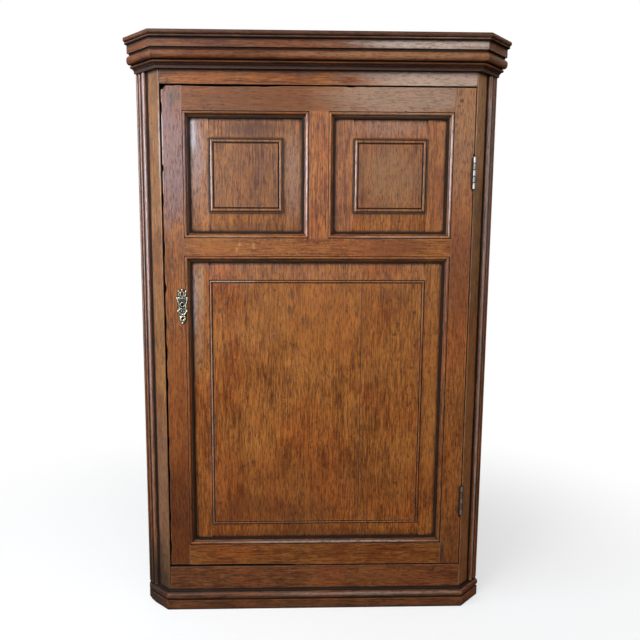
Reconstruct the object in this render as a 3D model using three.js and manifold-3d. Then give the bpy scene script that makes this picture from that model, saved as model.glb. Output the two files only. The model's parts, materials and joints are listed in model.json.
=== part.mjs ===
// A hanging corner cupboard in oak, with one panelled door hinged at the right.
// Lengths are millimetres. X runs across the front, Y from the front to the corner, Z up.
// Until the last lines Y is measured from the face of the door, and Z from the underside.

import * as THREE from 'three';
import { mergeVertices } from 'three/addons/utils/BufferGeometryUtils.js';
import Module from 'manifold-3d';

const wasm = await Module();
wasm.setup();

// Clearances and cutting
const CONTACT_GAP = 0.3;
const OVERRUN = 2;
const WELD_DISTANCE = 0.0001;

// Carcase in plan: the front opening, the canted posts and the boards against the walls
const OPENING_HALF_WIDTH = 301;
const ARRIS_LIP = 2;
const CANT_RUN = 46;
const POST_THICKNESS = 24;
const BACK_BOARD_THICKNESS = 12;

// Carcase heights
const BOTTOM_RAIL_HEIGHT = 90;
const OPENING_HEIGHT = 960;
const FRIEZE_RAIL_HEIGHT = 70;
const TOP_BOARD_THICKNESS = 12;
const BOTTOM_BOARD_THICKNESS = 14;
const BOTTOM_BOARD_DROP = 2;

// Rails between the posts
const RAIL_THICKNESS = 24;
const RAIL_TENON_LENGTH = 10;
const RAIL_TENON_BACK_SHOULDER = 3;
const RAIL_TENON_THICKNESS = 8;
const RAIL_TENON_SHOULDER = 12;

// Shelves, with the clear height below each, and the bearers that carry them
const SHELF_SPACES = { lower: 324, upper: 308 };
const SHELF_THICKNESS = 16;
const SHELF_SETBACK = 46;
const SHELF_HOLLOW = 24;
const BEARER_HEIGHT = 22;
const BEARER_DEPTH = 16;

// Stop behind the lock stile
const STOP_WIDTH = 12.7;
const STOP_DEPTH = 13.2;
const STOP_CLEARANCE = 0.8;

// Cornice
const CORNICE_HEIGHT = 62;
const CORNICE_RISE = 18;
const CORNICE_PROJECTION = 32;

// Moulding round the foot
const BASE_MOULDING_HEIGHT = 40;
const BASE_MOULDING_PROJECTION = 9;

// Reeded moulding on each cant
const REEDING_WIDTH = 30.4;
const REEDING_PROJECTION = 6.5;

// Door
const DOOR_THICKNESS = 22;
const LOCK_SIDE_GAP = 3;
const HINGE_SIDE_GAP = 2;
const DOOR_HEAD_GAP = 3;
const DOOR_FOOT_GAP = 3;
const LOCK_STILE_FLAT = 38;
const HINGE_STILE_FLAT = 39;
const TOP_RAIL_FLAT = 44.5;
const BOTTOM_RAIL_FLAT = 44.5;
const UPPER_OPENING_HEIGHT = 239;
const MID_RAIL_FLAT = 34;
const MUNTIN_FLAT = 37;

// Moulding worked on the inner edges of the door's frame, and the groove behind it
const STUCK_WIDTH = 12.5;
const STUCK_DEPTH = 5.2;
const GROOVE_SETBACK = 9.2;
const GROOVE_WIDTH = 6.1;
const GROOVE_DEPTH = 8;

// Joints of the door's frame
const TENON_THICKNESS = 6;
const TENON_LENGTH = 28;
const MUNTIN_TENON_LENGTH = 24;
const INNER_SHOULDER = 3;
const OUTER_SHOULDER = 11;
const PEG_RADIUS = 3.5;
const PEG_FROM_SHOULDER = 11.5;
const PEG_BELOW_DOOR_TOP = 23.3;

// Panels
const PANEL_TONGUE_PLAY = 1;
const PANEL_MARGIN_SETBACK = 7.5;
const UPPER_MARGIN = 36.5;
const UPPER_MOULDING_WIDTH = 11;
const UPPER_MOULDING_RELIEF = 3.1;
const LOWER_MARGIN = 34;
const LOWER_FOOT_MARGIN = 28.5;
const LOWER_MOULDING_WIDTH = 7;
const LOWER_MOULDING_RELIEF = 2.2;
const BOARD_JOINT_FROM_CENTRE = 88;

// Hinges
const HINGE_FROM_DOOR_END = { upper: 158, lower: 137 };
const HINGE_LENGTH = 60;
const KNUCKLE_RADIUS = 3.4;
const KNUCKLE_COUNT = 5;
const LEAF_THICKNESS = 1.6;
const LEAF_BACK_MARGIN = 3;
const LEAF_FACE_GAP = 0.2;
const HINGE_PIN_RADIUS = 1.5;
const SCREW_HEAD_RADIUS = 3;
const SCREW_SHANK_RADIUS = 1.4;
const SCREW_LENGTH = 10;
const SCREW_TIP_LENGTH = 2;

// Lock
const LOCK_END_WALL = 3;
const LOCK_HEIGHT = 58;
const LOCK_DEPTH = 9.7;
const LOCK_WALL = 1.5;
const LOCK_BELOW_MID_RAIL = 94.5;
const KEYHOLE_FROM_LOCK_END = 6.5;
const KEYHOLE_RADIUS = 3.1;
const KEYHOLE_SLOT_WIDTH = 3;
const KEYHOLE_SLOT_DROP = 6.5;
const BOLT_LENGTH = 28;
const BOLT_HEIGHT = 14;
const BOLT_THICKNESS = 5;
const BOLT_RISE = 13.5;
const BOLT_THROW = 8;

// Escutcheon
const ESCUTCHEON_HALF_WIDTH = 11.2;
const ESCUTCHEON_HEIGHT = 70;
const ESCUTCHEON_THICKNESS = 1.8;
const ESCUTCHEON_KEYHOLE_RISE = 39;

// Counts
const CURVE_STEPS = 5;
const ROUND_SIDES = 20;
const SCREW_SIDES = 10;
const SHELF_EDGE_STEPS = 24;
const ESCUTCHEON_STEPS = 96;

// Sections of mouldings. A row of two shares is a corner, a row of four a rounded stretch
// with its control point first. The first share of a pair follows the width, the other the height.
const CORNICE_SECTION_SHARES = [
  [0, 0],
  [0.27, 0],
  [0.27, 0.05],
  [0.28, 0.105, 0.37, 0.105],
  [0.37, 0.125],
  [0.41, 0.125],
  [0.55, 0.13, 0.55, 0.17],
  [0.55, 0.205, 0.47, 0.21],
  [0.45, 0.225],
  [0.62, 0.225],
  [0.78, 0.24, 0.785, 0.35],
  [0.785, 0.45, 0.66, 0.48],
  [0.6, 0.49],
  [0.6, 0.545],
  [0.745, 0.55],
  [0.745, 0.79],
  [0.9, 0.805],
  [0.9, 0.86],
  [0.875, 0.87],
  [0.99, 0.88, 1, 0.935],
  [1, 0.985, 0.965, 1],
  [0, 1],
];
const BASE_SECTION_SHARES = [
  [0, 0],
  [0.88, 0],
  [0.88, 0.5],
  [0.54, 0.51],
  [0.54, 0.55],
  [0.98, 0.57, 1, 0.71],
  [0.98, 0.86, 0.58, 0.875],
  [0.42, 0.885],
  [0.42, 0.97],
  [0.3, 1],
  [0, 1],
];
const REEDING_SECTION_SHARES = [
  [0, 0],
  [0, 0.13],
  [0.045, 0.13],
  [0.06, 1, 0.24, 1],
  [0.42, 1, 0.43, 0.36],
  [0.455, 0.26],
  [0.49, 0.26],
  [0.5, 0.92, 0.62, 0.92],
  [0.73, 0.92, 0.735, 0.5],
  [0.75, 0.4],
  [0.77, 0.4],
  [0.78, 0.9, 0.88, 0.9],
  [0.99, 0.9, 1, 0.5],
  [1, 0],
];
const STUCK_SECTION_SHARES = [
  [0, 0],
  [0.016, 0.31],
  [0.09, 0.31],
  [0.1, 0.15],
  [0.12, 0.02, 0.28, 0.02],
  [0.47, 0.02, 0.5, 0.46],
  [0.51, 0.58],
  [0.53, 1, 0.78, 1],
  [0.81, 0.83],
  [1, 0.83],
];
// Mouldings round the raised fields, from the margin inwards: width share, relief share.
const UPPER_FIELD_SHARES = [
  [0, 0],
  [0, 0.72],
  [0.17, 0.72],
  [0.19, 0.3],
  [0.26, 0.3],
  [0.28, 0.55],
  [0.32, 1, 0.5, 1],
  [0.7, 1, 0.75, 0.5],
  [0.77, 0.34],
  [0.88, 0.34],
  [1, 0.8],
];
const LOWER_FIELD_SHARES = [
  [0, 0],
  [0.04, -0.55],
  [0.2, -0.55],
  [0.23, 0.2],
  [0.28, 1, 0.5, 1],
  [0.72, 1, 0.77, 0.2],
  [0.8, -0.3],
  [0.93, -0.3],
  [1, 0.55],
];
// Widths of the boards of one wall, from the end where its length is counted.
const BACK_BOARD_WIDTH_SHARES = [0.36, 0.31, 0.33];
// Screws on a hinge leaf: share of the leaf's depth, share of half the hinge's length.
const SCREW_PLACE_SHARES = [
  [0.58, -0.73],
  [0.74, 0],
  [0.58, 0.73],
];
// Right half of the escutcheon from top to bottom: share of the half width, share of the height.
const ESCUTCHEON_OUTLINE_SHARES = [
  [0, 1],
  [0.16, 0.98],
  [0.19, 0.945],
  [0.14, 0.918],
  [0.36, 0.914],
  [0.55, 0.95],
  [0.77, 0.945],
  [0.76, 0.895],
  [0.78, 0.84],
  [0.62, 0.797],
  [0.8, 0.766],
  [1, 0.733],
  [0.9, 0.69],
  [0.93, 0.64],
  [0.77, 0.565],
  [0.73, 0.51],
  [0.72, 0.46],
  [0.8, 0.41],
  [0.91, 0.37],
  [0.72, 0.33],
  [0.58, 0.295],
  [0.44, 0.255],
  [0.53, 0.22],
  [0.58, 0.163],
  [0.47, 0.1],
  [0.22, 0.075],
  [0.21, 0.03],
  [0, 0],
];
// Pierced holes of the escutcheon: height share of the centre, then half width and half height.
const ESCUTCHEON_PIERCING_SHARES = [
  [0.845, 0.23, 0.055],
  [0.37, 0.26, 0.048],
  [0.163, 0.22, 0.035],
];

// Places worked out from the sizes
const ARRIS_X = OPENING_HALF_WIDTH + ARRIS_LIP;
const WALL_X = ARRIS_X + CANT_RUN;
const CORNER_Y = WALL_X + CANT_RUN;
const CANT_WIDTH = CANT_RUN * Math.SQRT2;
const WALL_LENGTH = WALL_X * Math.SQRT2;
const CORNER_MITRE = Math.PI / 8;
const OPENING_TOP = BOTTOM_RAIL_HEIGHT + OPENING_HEIGHT;
const CARCASE_HEIGHT = OPENING_TOP + FRIEZE_RAIL_HEIGHT;
const CORNICE_BOTTOM = CARCASE_HEIGHT + CORNICE_RISE - CORNICE_HEIGHT;
const BOTTOM_BOARD_TOP = BOTTOM_RAIL_HEIGHT - BOTTOM_BOARD_DROP;
const LOWER_SHELF_BOTTOM = BOTTOM_BOARD_TOP + SHELF_SPACES.lower;
const SHELF_BOTTOMS = {
  lower: LOWER_SHELF_BOTTOM,
  upper: LOWER_SHELF_BOTTOM + SHELF_THICKNESS + SHELF_SPACES.upper,
};
const RAIL_TENON_SETBACK = RAIL_THICKNESS - RAIL_TENON_BACK_SHOULDER - RAIL_TENON_THICKNESS;

const DOOR_LEFT = -OPENING_HALF_WIDTH + LOCK_SIDE_GAP;
const DOOR_RIGHT = OPENING_HALF_WIDTH - HINGE_SIDE_GAP;
const DOOR_BOTTOM = BOTTOM_RAIL_HEIGHT + DOOR_FOOT_GAP;
const DOOR_TOP = OPENING_TOP - DOOR_HEAD_GAP;
const STILE_LINES = { left: DOOR_LEFT + LOCK_STILE_FLAT, right: DOOR_RIGHT - HINGE_STILE_FLAT };
const DOOR_MIDDLE = (STILE_LINES.left + STILE_LINES.right) / 2;
const MID_RAIL_TOP = DOOR_TOP - TOP_RAIL_FLAT - UPPER_OPENING_HEIGHT;
const MID_RAIL_BOTTOM = MID_RAIL_TOP - MID_RAIL_FLAT;
const GROOVE_BACK = GROOVE_SETBACK + GROOVE_WIDTH;
const TENON_SETBACK = GROOVE_SETBACK + (GROOVE_WIDTH - TENON_THICKNESS) / 2;

// Openings of the door's frame, between the outer lines of their mouldings
const LOWER_OPENING = {
  left: STILE_LINES.left,
  right: STILE_LINES.right,
  bottom: DOOR_BOTTOM + BOTTOM_RAIL_FLAT,
  top: MID_RAIL_BOTTOM,
};
const UPPER_LEFT_OPENING = {
  left: STILE_LINES.left,
  right: DOOR_MIDDLE - MUNTIN_FLAT / 2,
  bottom: MID_RAIL_TOP,
  top: DOOR_TOP - TOP_RAIL_FLAT,
};
const UPPER_RIGHT_OPENING = {
  ...UPPER_LEFT_OPENING,
  left: DOOR_MIDDLE + MUNTIN_FLAT / 2,
  right: STILE_LINES.right,
};

// Rails of the door's frame, with the shoulders below and above their tenons
const DOOR_RAILS = {
  bottom: {
    bottom: DOOR_BOTTOM,
    top: LOWER_OPENING.bottom,
    footShoulder: OUTER_SHOULDER,
    headShoulder: INNER_SHOULDER,
  },
  mid: {
    bottom: MID_RAIL_BOTTOM,
    top: MID_RAIL_TOP,
    footShoulder: INNER_SHOULDER,
    headShoulder: INNER_SHOULDER,
  },
  top: {
    bottom: UPPER_LEFT_OPENING.top,
    top: DOOR_TOP,
    footShoulder: INNER_SHOULDER,
    headShoulder: OUTER_SHOULDER,
  },
};

const HINGE_AXIS_X = (DOOR_RIGHT + OPENING_HALF_WIDTH) / 2;
const HINGE_AXIS_Y = -(KNUCKLE_RADIUS + CONTACT_GAP);
const HINGE_HEIGHTS = {
  upper: DOOR_TOP - HINGE_FROM_DOOR_END.upper,
  lower: DOOR_BOTTOM + HINGE_FROM_DOOR_END.lower,
};
const LEAF_DEPTH = DOOR_THICKNESS - LEAF_BACK_MARGIN;

// The lock ends short of the groove for the panel.
const LOCK_LEFT = DOOR_LEFT + CONTACT_GAP;
const LOCK_RIGHT = STILE_LINES.left + STUCK_WIDTH - GROOVE_DEPTH - LOCK_END_WALL;
const LOCK_FRONT = DOOR_THICKNESS - LOCK_DEPTH;
const LOCK_CENTRE_HEIGHT = MID_RAIL_BOTTOM - LOCK_BELOW_MID_RAIL;
const KEYHOLE_X = LOCK_RIGHT - KEYHOLE_FROM_LOCK_END;
const BOLT_HEIGHT_MIDDLE = LOCK_CENTRE_HEIGHT + BOLT_RISE;
const BOLT_FRONT = LOCK_FRONT + (LOCK_DEPTH - BOLT_THICKNESS) / 2;

// Colours of the surfaces
const FINISHES = {
  frame: { color: 0x7d4a2b, roughness: 0.5, metalness: 0 },
  panel: { color: 0x8a5431, roughness: 0.46, metalness: 0 },
  moulding: { color: 0x6b3d24, roughness: 0.42, metalness: 0 },
  carcase: { color: 0x7a4c2e, roughness: 0.5, metalness: 0 },
  inside: { color: 0x8d6a45, roughness: 0.75, metalness: 0 },
  brass: { color: 0x9c8b62, roughness: 0.35, metalness: 1 },
  iron: { color: 0x3d3a36, roughness: 0.6, metalness: 1 },
};

/** A closed solid for joining and cutting. */
function solidOf(geometry) {
  const bare = new THREE.BufferGeometry();
  bare.setAttribute('position', geometry.getAttribute('position'));
  bare.setIndex(geometry.getIndex());
  const welded = mergeVertices(bare, WELD_DISTANCE);
  const corners = welded.getIndex().array;
  const triangles = [];
  for (let i = 0; i < corners.length; i += 3) {
    const [a, b, c] = [corners[i], corners[i + 1], corners[i + 2]];
    if (a !== b && b !== c && c !== a) {
      triangles.push(a, b, c);
    }
  }
  return new wasm.Manifold(
    new wasm.Mesh({
      numProp: 3,
      vertProperties: welded.getAttribute('position').array,
      triVerts: Uint32Array.from(triangles),
    }),
  );
}

/** The surface of a solid as a geometry. */
function geometryOf(solid) {
  const surface = solid.getMesh();
  const geometry = new THREE.BufferGeometry();
  geometry.setAttribute('position', new THREE.BufferAttribute(surface.vertProperties, 3));
  geometry.setIndex(new THREE.BufferAttribute(surface.triVerts, 1));
  geometry.computeVertexNormals();
  return geometry;
}

/** One solid from several that overlap. */
function joined(pieces) {
  return geometryOf(pieces.map(solidOf).reduce((whole, piece) => whole.add(piece)));
}

/** A solid with others cut out of it. */
function cutBy(piece, cutters) {
  return geometryOf(cutters.map(solidOf).reduce((rest, cutter) => rest.subtract(cutter), solidOf(piece)));
}

/** A rectangular block between two places on each axis, given in either order. */
function block(...spans) {
  const lengths = spans.map(([from, to]) => Math.abs(to - from));
  const middles = spans.map(([from, to]) => (from + to) / 2);
  return new THREE.BoxGeometry(...lengths).translate(...middles);
}

/** A flat board with the given plan, standing on height zero. */
function board(plan, thickness) {
  return new THREE.ExtrudeGeometry(new THREE.Shape(plan), { depth: thickness, bevelEnabled: false });
}

/** An outline with straight and rounded stretches, from rows of shares. */
function sectionShape(rows, width, height) {
  const shape = new THREE.Shape();
  rows.forEach((row, index) => {
    const place = row.map((share, k) => share * (k % 2 === 0 ? width : height));
    if (index === 0) {
      shape.moveTo(...place);
    } else if (place.length === 2) {
      shape.lineTo(...place);
    } else {
      shape.quadraticCurveTo(...place);
    }
  });
  return shape;
}

/** A named piece with its finish. */
function piece(name, geometry, finish) {
  const mesh = new THREE.Mesh(geometry, new THREE.MeshStandardMaterial({ ...finish, flatShading: true }));
  mesh.name = name;
  return mesh;
}

/** The place in plan where x + y is one value and y - x is another. */
function meet(sum, difference) {
  return new THREE.Vector2((sum - difference) / 2, (sum + difference) / 2);
}

/** What x + y is on a plane parallel to the right wall, this far inside it. */
function wallSum(inset) {
  return CORNER_Y - inset * Math.SQRT2;
}

/** What y - x is on a plane parallel to the right cant, this far inside it. */
function cantDifference(inset) {
  return inset * Math.SQRT2 - ARRIS_X;
}

/** A plan mirrored for the left side, or as it is for the right. */
function onSide(side, plan) {
  return plan.map((point) => new THREE.Vector2(side * point.x, point.y));
}

/** The tenons of a carcase rail as one bar, or their mortises when there is a clearance. */
function railTenonBar(bottom, top, clearance) {
  const reach = OPENING_HALF_WIDTH + RAIL_TENON_LENGTH + clearance;
  const front = RAIL_TENON_SETBACK - clearance;
  const back = RAIL_TENON_SETBACK + RAIL_TENON_THICKNESS + clearance;
  const foot = bottom + RAIL_TENON_SHOULDER - clearance;
  const head = top - RAIL_TENON_SHOULDER + clearance;
  return block([-reach, reach], [front, back], [foot, head]);
}

function carcaseRail(bottom, top) {
  const end = OPENING_HALF_WIDTH - CONTACT_GAP;
  const body = block([-end, end], [0, RAIL_THICKNESS], [bottom, top]);
  return joined([body, railTenonBar(bottom, top, 0)]);
}

/** Half of the hinge screw's outline, widened by a clearance. */
function screwOutline(clearance, rise) {
  return [
    new THREE.Vector2(0, -rise),
    new THREE.Vector2(SCREW_HEAD_RADIUS + clearance, -rise),
    new THREE.Vector2(SCREW_HEAD_RADIUS + clearance, 0),
    new THREE.Vector2(SCREW_SHANK_RADIUS + clearance, LEAF_THICKNESS),
    new THREE.Vector2(SCREW_SHANK_RADIUS + clearance, SCREW_LENGTH - SCREW_TIP_LENGTH),
    new THREE.Vector2(0, SCREW_LENGTH + clearance),
  ];
}

/** Where the screws of one hinge leaf enter it. The side is 1 on the post and -1 on the door. */
function screwPlaces(side, middle) {
  return SCREW_PLACE_SHARES.map(([depthShare, lengthShare]) => {
    const x = HINGE_AXIS_X + side * LEAF_FACE_GAP;
    return new THREE.Vector3(x, depthShare * LEAF_DEPTH, middle + (lengthShare * HINGE_LENGTH) / 2);
  });
}

function screwTurn(side) {
  return (-side * Math.PI) / 2;
}

/** Cutters for the screws of one leaf. */
function screwHoles(side, middle) {
  const outline = screwOutline(CONTACT_GAP, OVERRUN);
  return screwPlaces(side, middle).map((place) => {
    const hole = new THREE.LatheGeometry(outline, SCREW_SIDES).rotateZ(screwTurn(side));
    return hole.translate(place.x, place.y, place.z);
  });
}

/** Cutters that let a hinge leaf and its screws into the wood on one side. */
function hingeRecess(side) {
  const leafBack = HINGE_AXIS_X + side * (LEAF_FACE_GAP + LEAF_THICKNESS + CONTACT_GAP);
  const ys = [-OVERRUN, LEAF_DEPTH + CONTACT_GAP];
  const half = HINGE_LENGTH / 2 + CONTACT_GAP;
  return Object.values(HINGE_HEIGHTS).flatMap((middle) => {
    const seat = block([HINGE_AXIS_X, leafBack], ys, [middle - half, middle + half]);
    return [seat, ...screwHoles(side, middle)];
  });
}

/** The space that the thrown bolt takes in the left post. */
function boltMortise() {
  const half = BOLT_HEIGHT / 2 + CONTACT_GAP;
  return block(
    [DOOR_LEFT - BOLT_THROW - CONTACT_GAP, DOOR_LEFT],
    [BOLT_FRONT - CONTACT_GAP, BOLT_FRONT + BOLT_THICKNESS + CONTACT_GAP],
    [BOLT_HEIGHT_MIDDLE - half, BOLT_HEIGHT_MIDDLE + half],
  );
}

/** A canted post: a narrow lip at the opening, the cant, and a flat inner face. */
function post(side) {
  const back = wallSum(BACK_BOARD_THICKNESS + CONTACT_GAP);
  const inner = cantDifference(POST_THICKNESS);
  const plan = [
    new THREE.Vector2(OPENING_HALF_WIDTH, 0),
    new THREE.Vector2(ARRIS_X, 0),
    meet(back, cantDifference(0)),
    meet(back, inner),
    new THREE.Vector2(OPENING_HALF_WIDTH, OPENING_HALF_WIDTH + inner),
  ];
  const body = board(onSide(side, plan), CARCASE_HEIGHT);
  const mortises = [
    railTenonBar(0, BOTTOM_RAIL_HEIGHT, CONTACT_GAP),
    railTenonBar(OPENING_TOP, CARCASE_HEIGHT, CONTACT_GAP),
  ];
  const fittings = side > 0 ? hingeRecess(side) : [boltMortise()];
  return cutBy(body, [...mortises, ...fittings]);
}

/** Plan of a board that fills the inside of the carcase behind a straight front edge. */
function insidePlan(front) {
  const back = wallSum(BACK_BOARD_THICKNESS + CONTACT_GAP);
  const cheek = cantDifference(POST_THICKNESS + CONTACT_GAP);
  const side = Math.min(OPENING_HALF_WIDTH - CONTACT_GAP, front - cheek);
  const right = [new THREE.Vector2(side, front)];
  if (side + cheek > front) {
    right.push(new THREE.Vector2(side, side + cheek));
  }
  right.push(meet(back, cheek));
  const left = onSide(-1, right).reverse();
  return [...right, new THREE.Vector2(0, back), ...left];
}

/** A shelf with a hollow on each side of a rounded front. */
function shelf() {
  const [corner, ...others] = insidePlan(SHELF_SETBACK);
  const edge = [];
  for (let step = 1; step < SHELF_EDGE_STEPS; step += 1) {
    const across = (2 * step) / SHELF_EDGE_STEPS - 1;
    const hollow = SHELF_HOLLOW * Math.sin(Math.PI * across) ** 2;
    edge.push(new THREE.Vector2(across * corner.x, SHELF_SETBACK + hollow));
  }
  return board([...edge, corner, ...others], SHELF_THICKNESS);
}

function bottomBoard() {
  return board(insidePlan(RAIL_THICKNESS + CONTACT_GAP), BOTTOM_BOARD_THICKNESS);
}

function topBoard() {
  const right = [
    new THREE.Vector2(ARRIS_X, 0),
    new THREE.Vector2(WALL_X, CANT_RUN),
  ];
  const plan = [...right, new THREE.Vector2(0, CORNER_Y), ...onSide(-1, right).reverse()];
  return board(plan, TOP_BOARD_THICKNESS);
}

/** A moulding run in its own axes: X out of the face, Y up, Z along, with mitred or square ends. */
function mouldingRun(shape, length, mitres) {
  const geometry = new THREE.ExtrudeGeometry(shape, {
    depth: length,
    bevelEnabled: false,
    curveSegments: CURVE_STEPS,
  });
  const pull = CONTACT_GAP / 2 / Math.cos(CORNER_MITRE);
  const position = geometry.getAttribute('position');
  for (let i = 0; i < position.count; i += 1) {
    const reach = (position.getX(i) + CONTACT_GAP) * Math.tan(CORNER_MITRE) - pull;
    const atStart = position.getZ(i) < length / 2;
    if (atStart && mitres.start) {
      position.setZ(i, -reach);
    } else if (!atStart && mitres.end) {
      position.setZ(i, length + reach);
    }
  }
  return geometry;
}

/** The front run and the two returns of a moulding round the front and the cants. */
function mouldingSet(name, shape, bottom) {
  const arris = { right: new THREE.Vector2(ARRIS_X, 0), left: new THREE.Vector2(-ARRIS_X, 0) };
  const wall = { right: new THREE.Vector2(WALL_X, CANT_RUN), left: new THREE.Vector2(-WALL_X, CANT_RUN) };
  const runs = [
    { label: 'front', from: arris.right, to: arris.left, mitres: { start: true, end: true } },
    { label: 'right_return', from: wall.right, to: arris.right, mitres: { start: false, end: true } },
    { label: 'left_return', from: arris.left, to: wall.left, mitres: { start: true, end: false } },
  ];
  return runs.map(({ label, from, to, mitres }) => {
    const along = new THREE.Vector3(to.x - from.x, to.y - from.y, 0);
    const geometry = mouldingRun(shape, along.length(), mitres);
    const up = new THREE.Vector3(0, 0, 1);
    const out = up.clone().cross(along).normalize();
    const mesh = piece(`${name}_${label}`, geometry, FINISHES.moulding);
    mesh.quaternion.setFromRotationMatrix(new THREE.Matrix4().makeBasis(out, up, along.clone().normalize()));
    mesh.position.set(from.x, from.y, bottom).addScaledVector(out, CONTACT_GAP);
    return mesh;
  });
}

/** A reeded moulding on one cant, beside the wall. */
function reededMoulding(side) {
  const section = sectionShape(REEDING_SECTION_SHARES, REEDING_WIDTH, REEDING_PROJECTION - CONTACT_GAP);
  const plan = section.getPoints(CURVE_STEPS).map(({ x: along, y: out }) => {
    const distance = CANT_WIDTH - REEDING_WIDTH + along;
    const projection = CONTACT_GAP + out;
    const x = ARRIS_X + (distance + projection) * Math.SQRT1_2;
    return new THREE.Vector2(side * x, (distance - projection) * Math.SQRT1_2);
  });
  return board(plan, CORNICE_BOTTOM - BASE_MOULDING_HEIGHT - 2 * CONTACT_GAP);
}

/** The tenons of a door rail as one bar, or their mortises when there is a clearance. */
function doorTenonBar(rail, clearance) {
  const reach = TENON_LENGTH + clearance;
  const xs = [STILE_LINES.left - reach, STILE_LINES.right + reach];
  const ys = [TENON_SETBACK - clearance, TENON_SETBACK + TENON_THICKNESS + clearance];
  const zs = [rail.bottom + rail.footShoulder - clearance, rail.top - rail.headShoulder + clearance];
  return block(xs, ys, zs);
}

/** The tenons of the muntin as one bar, or their mortises when there is a clearance. */
function muntinTenonBar(clearance) {
  const half = MUNTIN_FLAT / 2 - INNER_SHOULDER + clearance;
  const reach = MUNTIN_TENON_LENGTH + clearance;
  const ys = [TENON_SETBACK - clearance, TENON_SETBACK + TENON_THICKNESS + clearance];
  const zs = [UPPER_LEFT_OPENING.bottom - reach, UPPER_LEFT_OPENING.top + reach];
  return block([DOOR_MIDDLE - half, DOOR_MIDDLE + half], ys, zs);
}

/** Section of the moulding on a frame member: X into the opening, Y into the door. */
function stuckSection() {
  const moulded = sectionShape(STUCK_SECTION_SHARES, STUCK_WIDTH, STUCK_DEPTH);
  const grooveBottom = STUCK_WIDTH - GROOVE_DEPTH;
  moulded.lineTo(STUCK_WIDTH, GROOVE_SETBACK);
  moulded.lineTo(grooveBottom, GROOVE_SETBACK);
  moulded.lineTo(grooveBottom, GROOVE_BACK);
  moulded.lineTo(STUCK_WIDTH, GROOVE_BACK);
  moulded.lineTo(STUCK_WIDTH, DOOR_THICKNESS);
  moulded.lineTo(-OVERRUN, DOOR_THICKNESS);
  moulded.lineTo(-OVERRUN, 0);
  return moulded;
}

/** Moulding along one side of an opening, mitred at both ends. */
function stuckSide(opening, side) {
  const { left, right, bottom, top } = opening;
  const inward = {
    left: new THREE.Vector3(1, 0, 0),
    right: new THREE.Vector3(-1, 0, 0),
    bottom: new THREE.Vector3(0, 0, 1),
    top: new THREE.Vector3(0, 0, -1),
  }[side];
  const start = {
    left: new THREE.Vector3(left, 0, bottom),
    right: new THREE.Vector3(right, 0, top),
    bottom: new THREE.Vector3(right, 0, bottom),
    top: new THREE.Vector3(left, 0, top),
  }[side];
  const length = side === 'left' || side === 'right' ? top - bottom : right - left;
  const geometry = new THREE.ExtrudeGeometry(stuckSection(), {
    depth: length,
    bevelEnabled: false,
    curveSegments: CURVE_STEPS,
  });
  const position = geometry.getAttribute('position');
  for (let i = 0; i < position.count; i += 1) {
    const cutback = Math.max(position.getX(i), 0) + CONTACT_GAP;
    position.setZ(i, position.getZ(i) < length / 2 ? cutback : length - cutback);
  }
  const into = new THREE.Vector3(0, 1, 0);
  const along = inward.clone().cross(into);
  geometry.applyMatrix4(new THREE.Matrix4().makeBasis(inward, into, along).setPosition(start));
  return geometry;
}

function lockStile() {
  const body = block([DOOR_LEFT, STILE_LINES.left], [0, DOOR_THICKNESS], [DOOR_BOTTOM, DOOR_TOP]);
  const mouldings = [stuckSide(LOWER_OPENING, 'left'), stuckSide(UPPER_LEFT_OPENING, 'left')];
  const mortises = Object.values(DOOR_RAILS).map((rail) => doorTenonBar(rail, CONTACT_GAP));
  return cutBy(joined([body, ...mouldings]), [...mortises, lockPocket(), keyholeCutter()]);
}

function hingeStile() {
  const body = block([STILE_LINES.right, DOOR_RIGHT], [0, DOOR_THICKNESS], [DOOR_BOTTOM, DOOR_TOP]);
  const mouldings = [stuckSide(LOWER_OPENING, 'right'), stuckSide(UPPER_RIGHT_OPENING, 'right')];
  const mortises = Object.values(DOOR_RAILS).map((rail) => doorTenonBar(rail, CONTACT_GAP));
  return cutBy(joined([body, ...mouldings]), [...mortises, ...hingeRecess(-1), pegHole()]);
}

/** A rail of the door's frame with the mouldings that run along it. */
function doorRail(rail, mouldings) {
  const xs = [STILE_LINES.left + CONTACT_GAP, STILE_LINES.right - CONTACT_GAP];
  const body = block(xs, [0, DOOR_THICKNESS], [rail.bottom, rail.top]);
  return joined([body, doorTenonBar(rail, 0), ...mouldings]);
}

function doorTopRail() {
  const mouldings = [stuckSide(UPPER_LEFT_OPENING, 'top'), stuckSide(UPPER_RIGHT_OPENING, 'top')];
  return cutBy(doorRail(DOOR_RAILS.top, mouldings), [muntinTenonBar(CONTACT_GAP), pegHole()]);
}

function doorMidRail() {
  const mouldings = [
    stuckSide(LOWER_OPENING, 'top'),
    stuckSide(UPPER_LEFT_OPENING, 'bottom'),
    stuckSide(UPPER_RIGHT_OPENING, 'bottom'),
  ];
  return cutBy(doorRail(DOOR_RAILS.mid, mouldings), [muntinTenonBar(CONTACT_GAP)]);
}

function doorBottomRail() {
  return doorRail(DOOR_RAILS.bottom, [stuckSide(LOWER_OPENING, 'bottom')]);
}

function muntin() {
  const xs = [UPPER_LEFT_OPENING.right, UPPER_RIGHT_OPENING.left];
  const zs = [UPPER_LEFT_OPENING.bottom + CONTACT_GAP, UPPER_LEFT_OPENING.top - CONTACT_GAP];
  const body = block(xs, [0, DOOR_THICKNESS], zs);
  const mouldings = [stuckSide(UPPER_LEFT_OPENING, 'right'), stuckSide(UPPER_RIGHT_OPENING, 'left')];
  return joined([body, muntinTenonBar(0), ...mouldings]);
}

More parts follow.
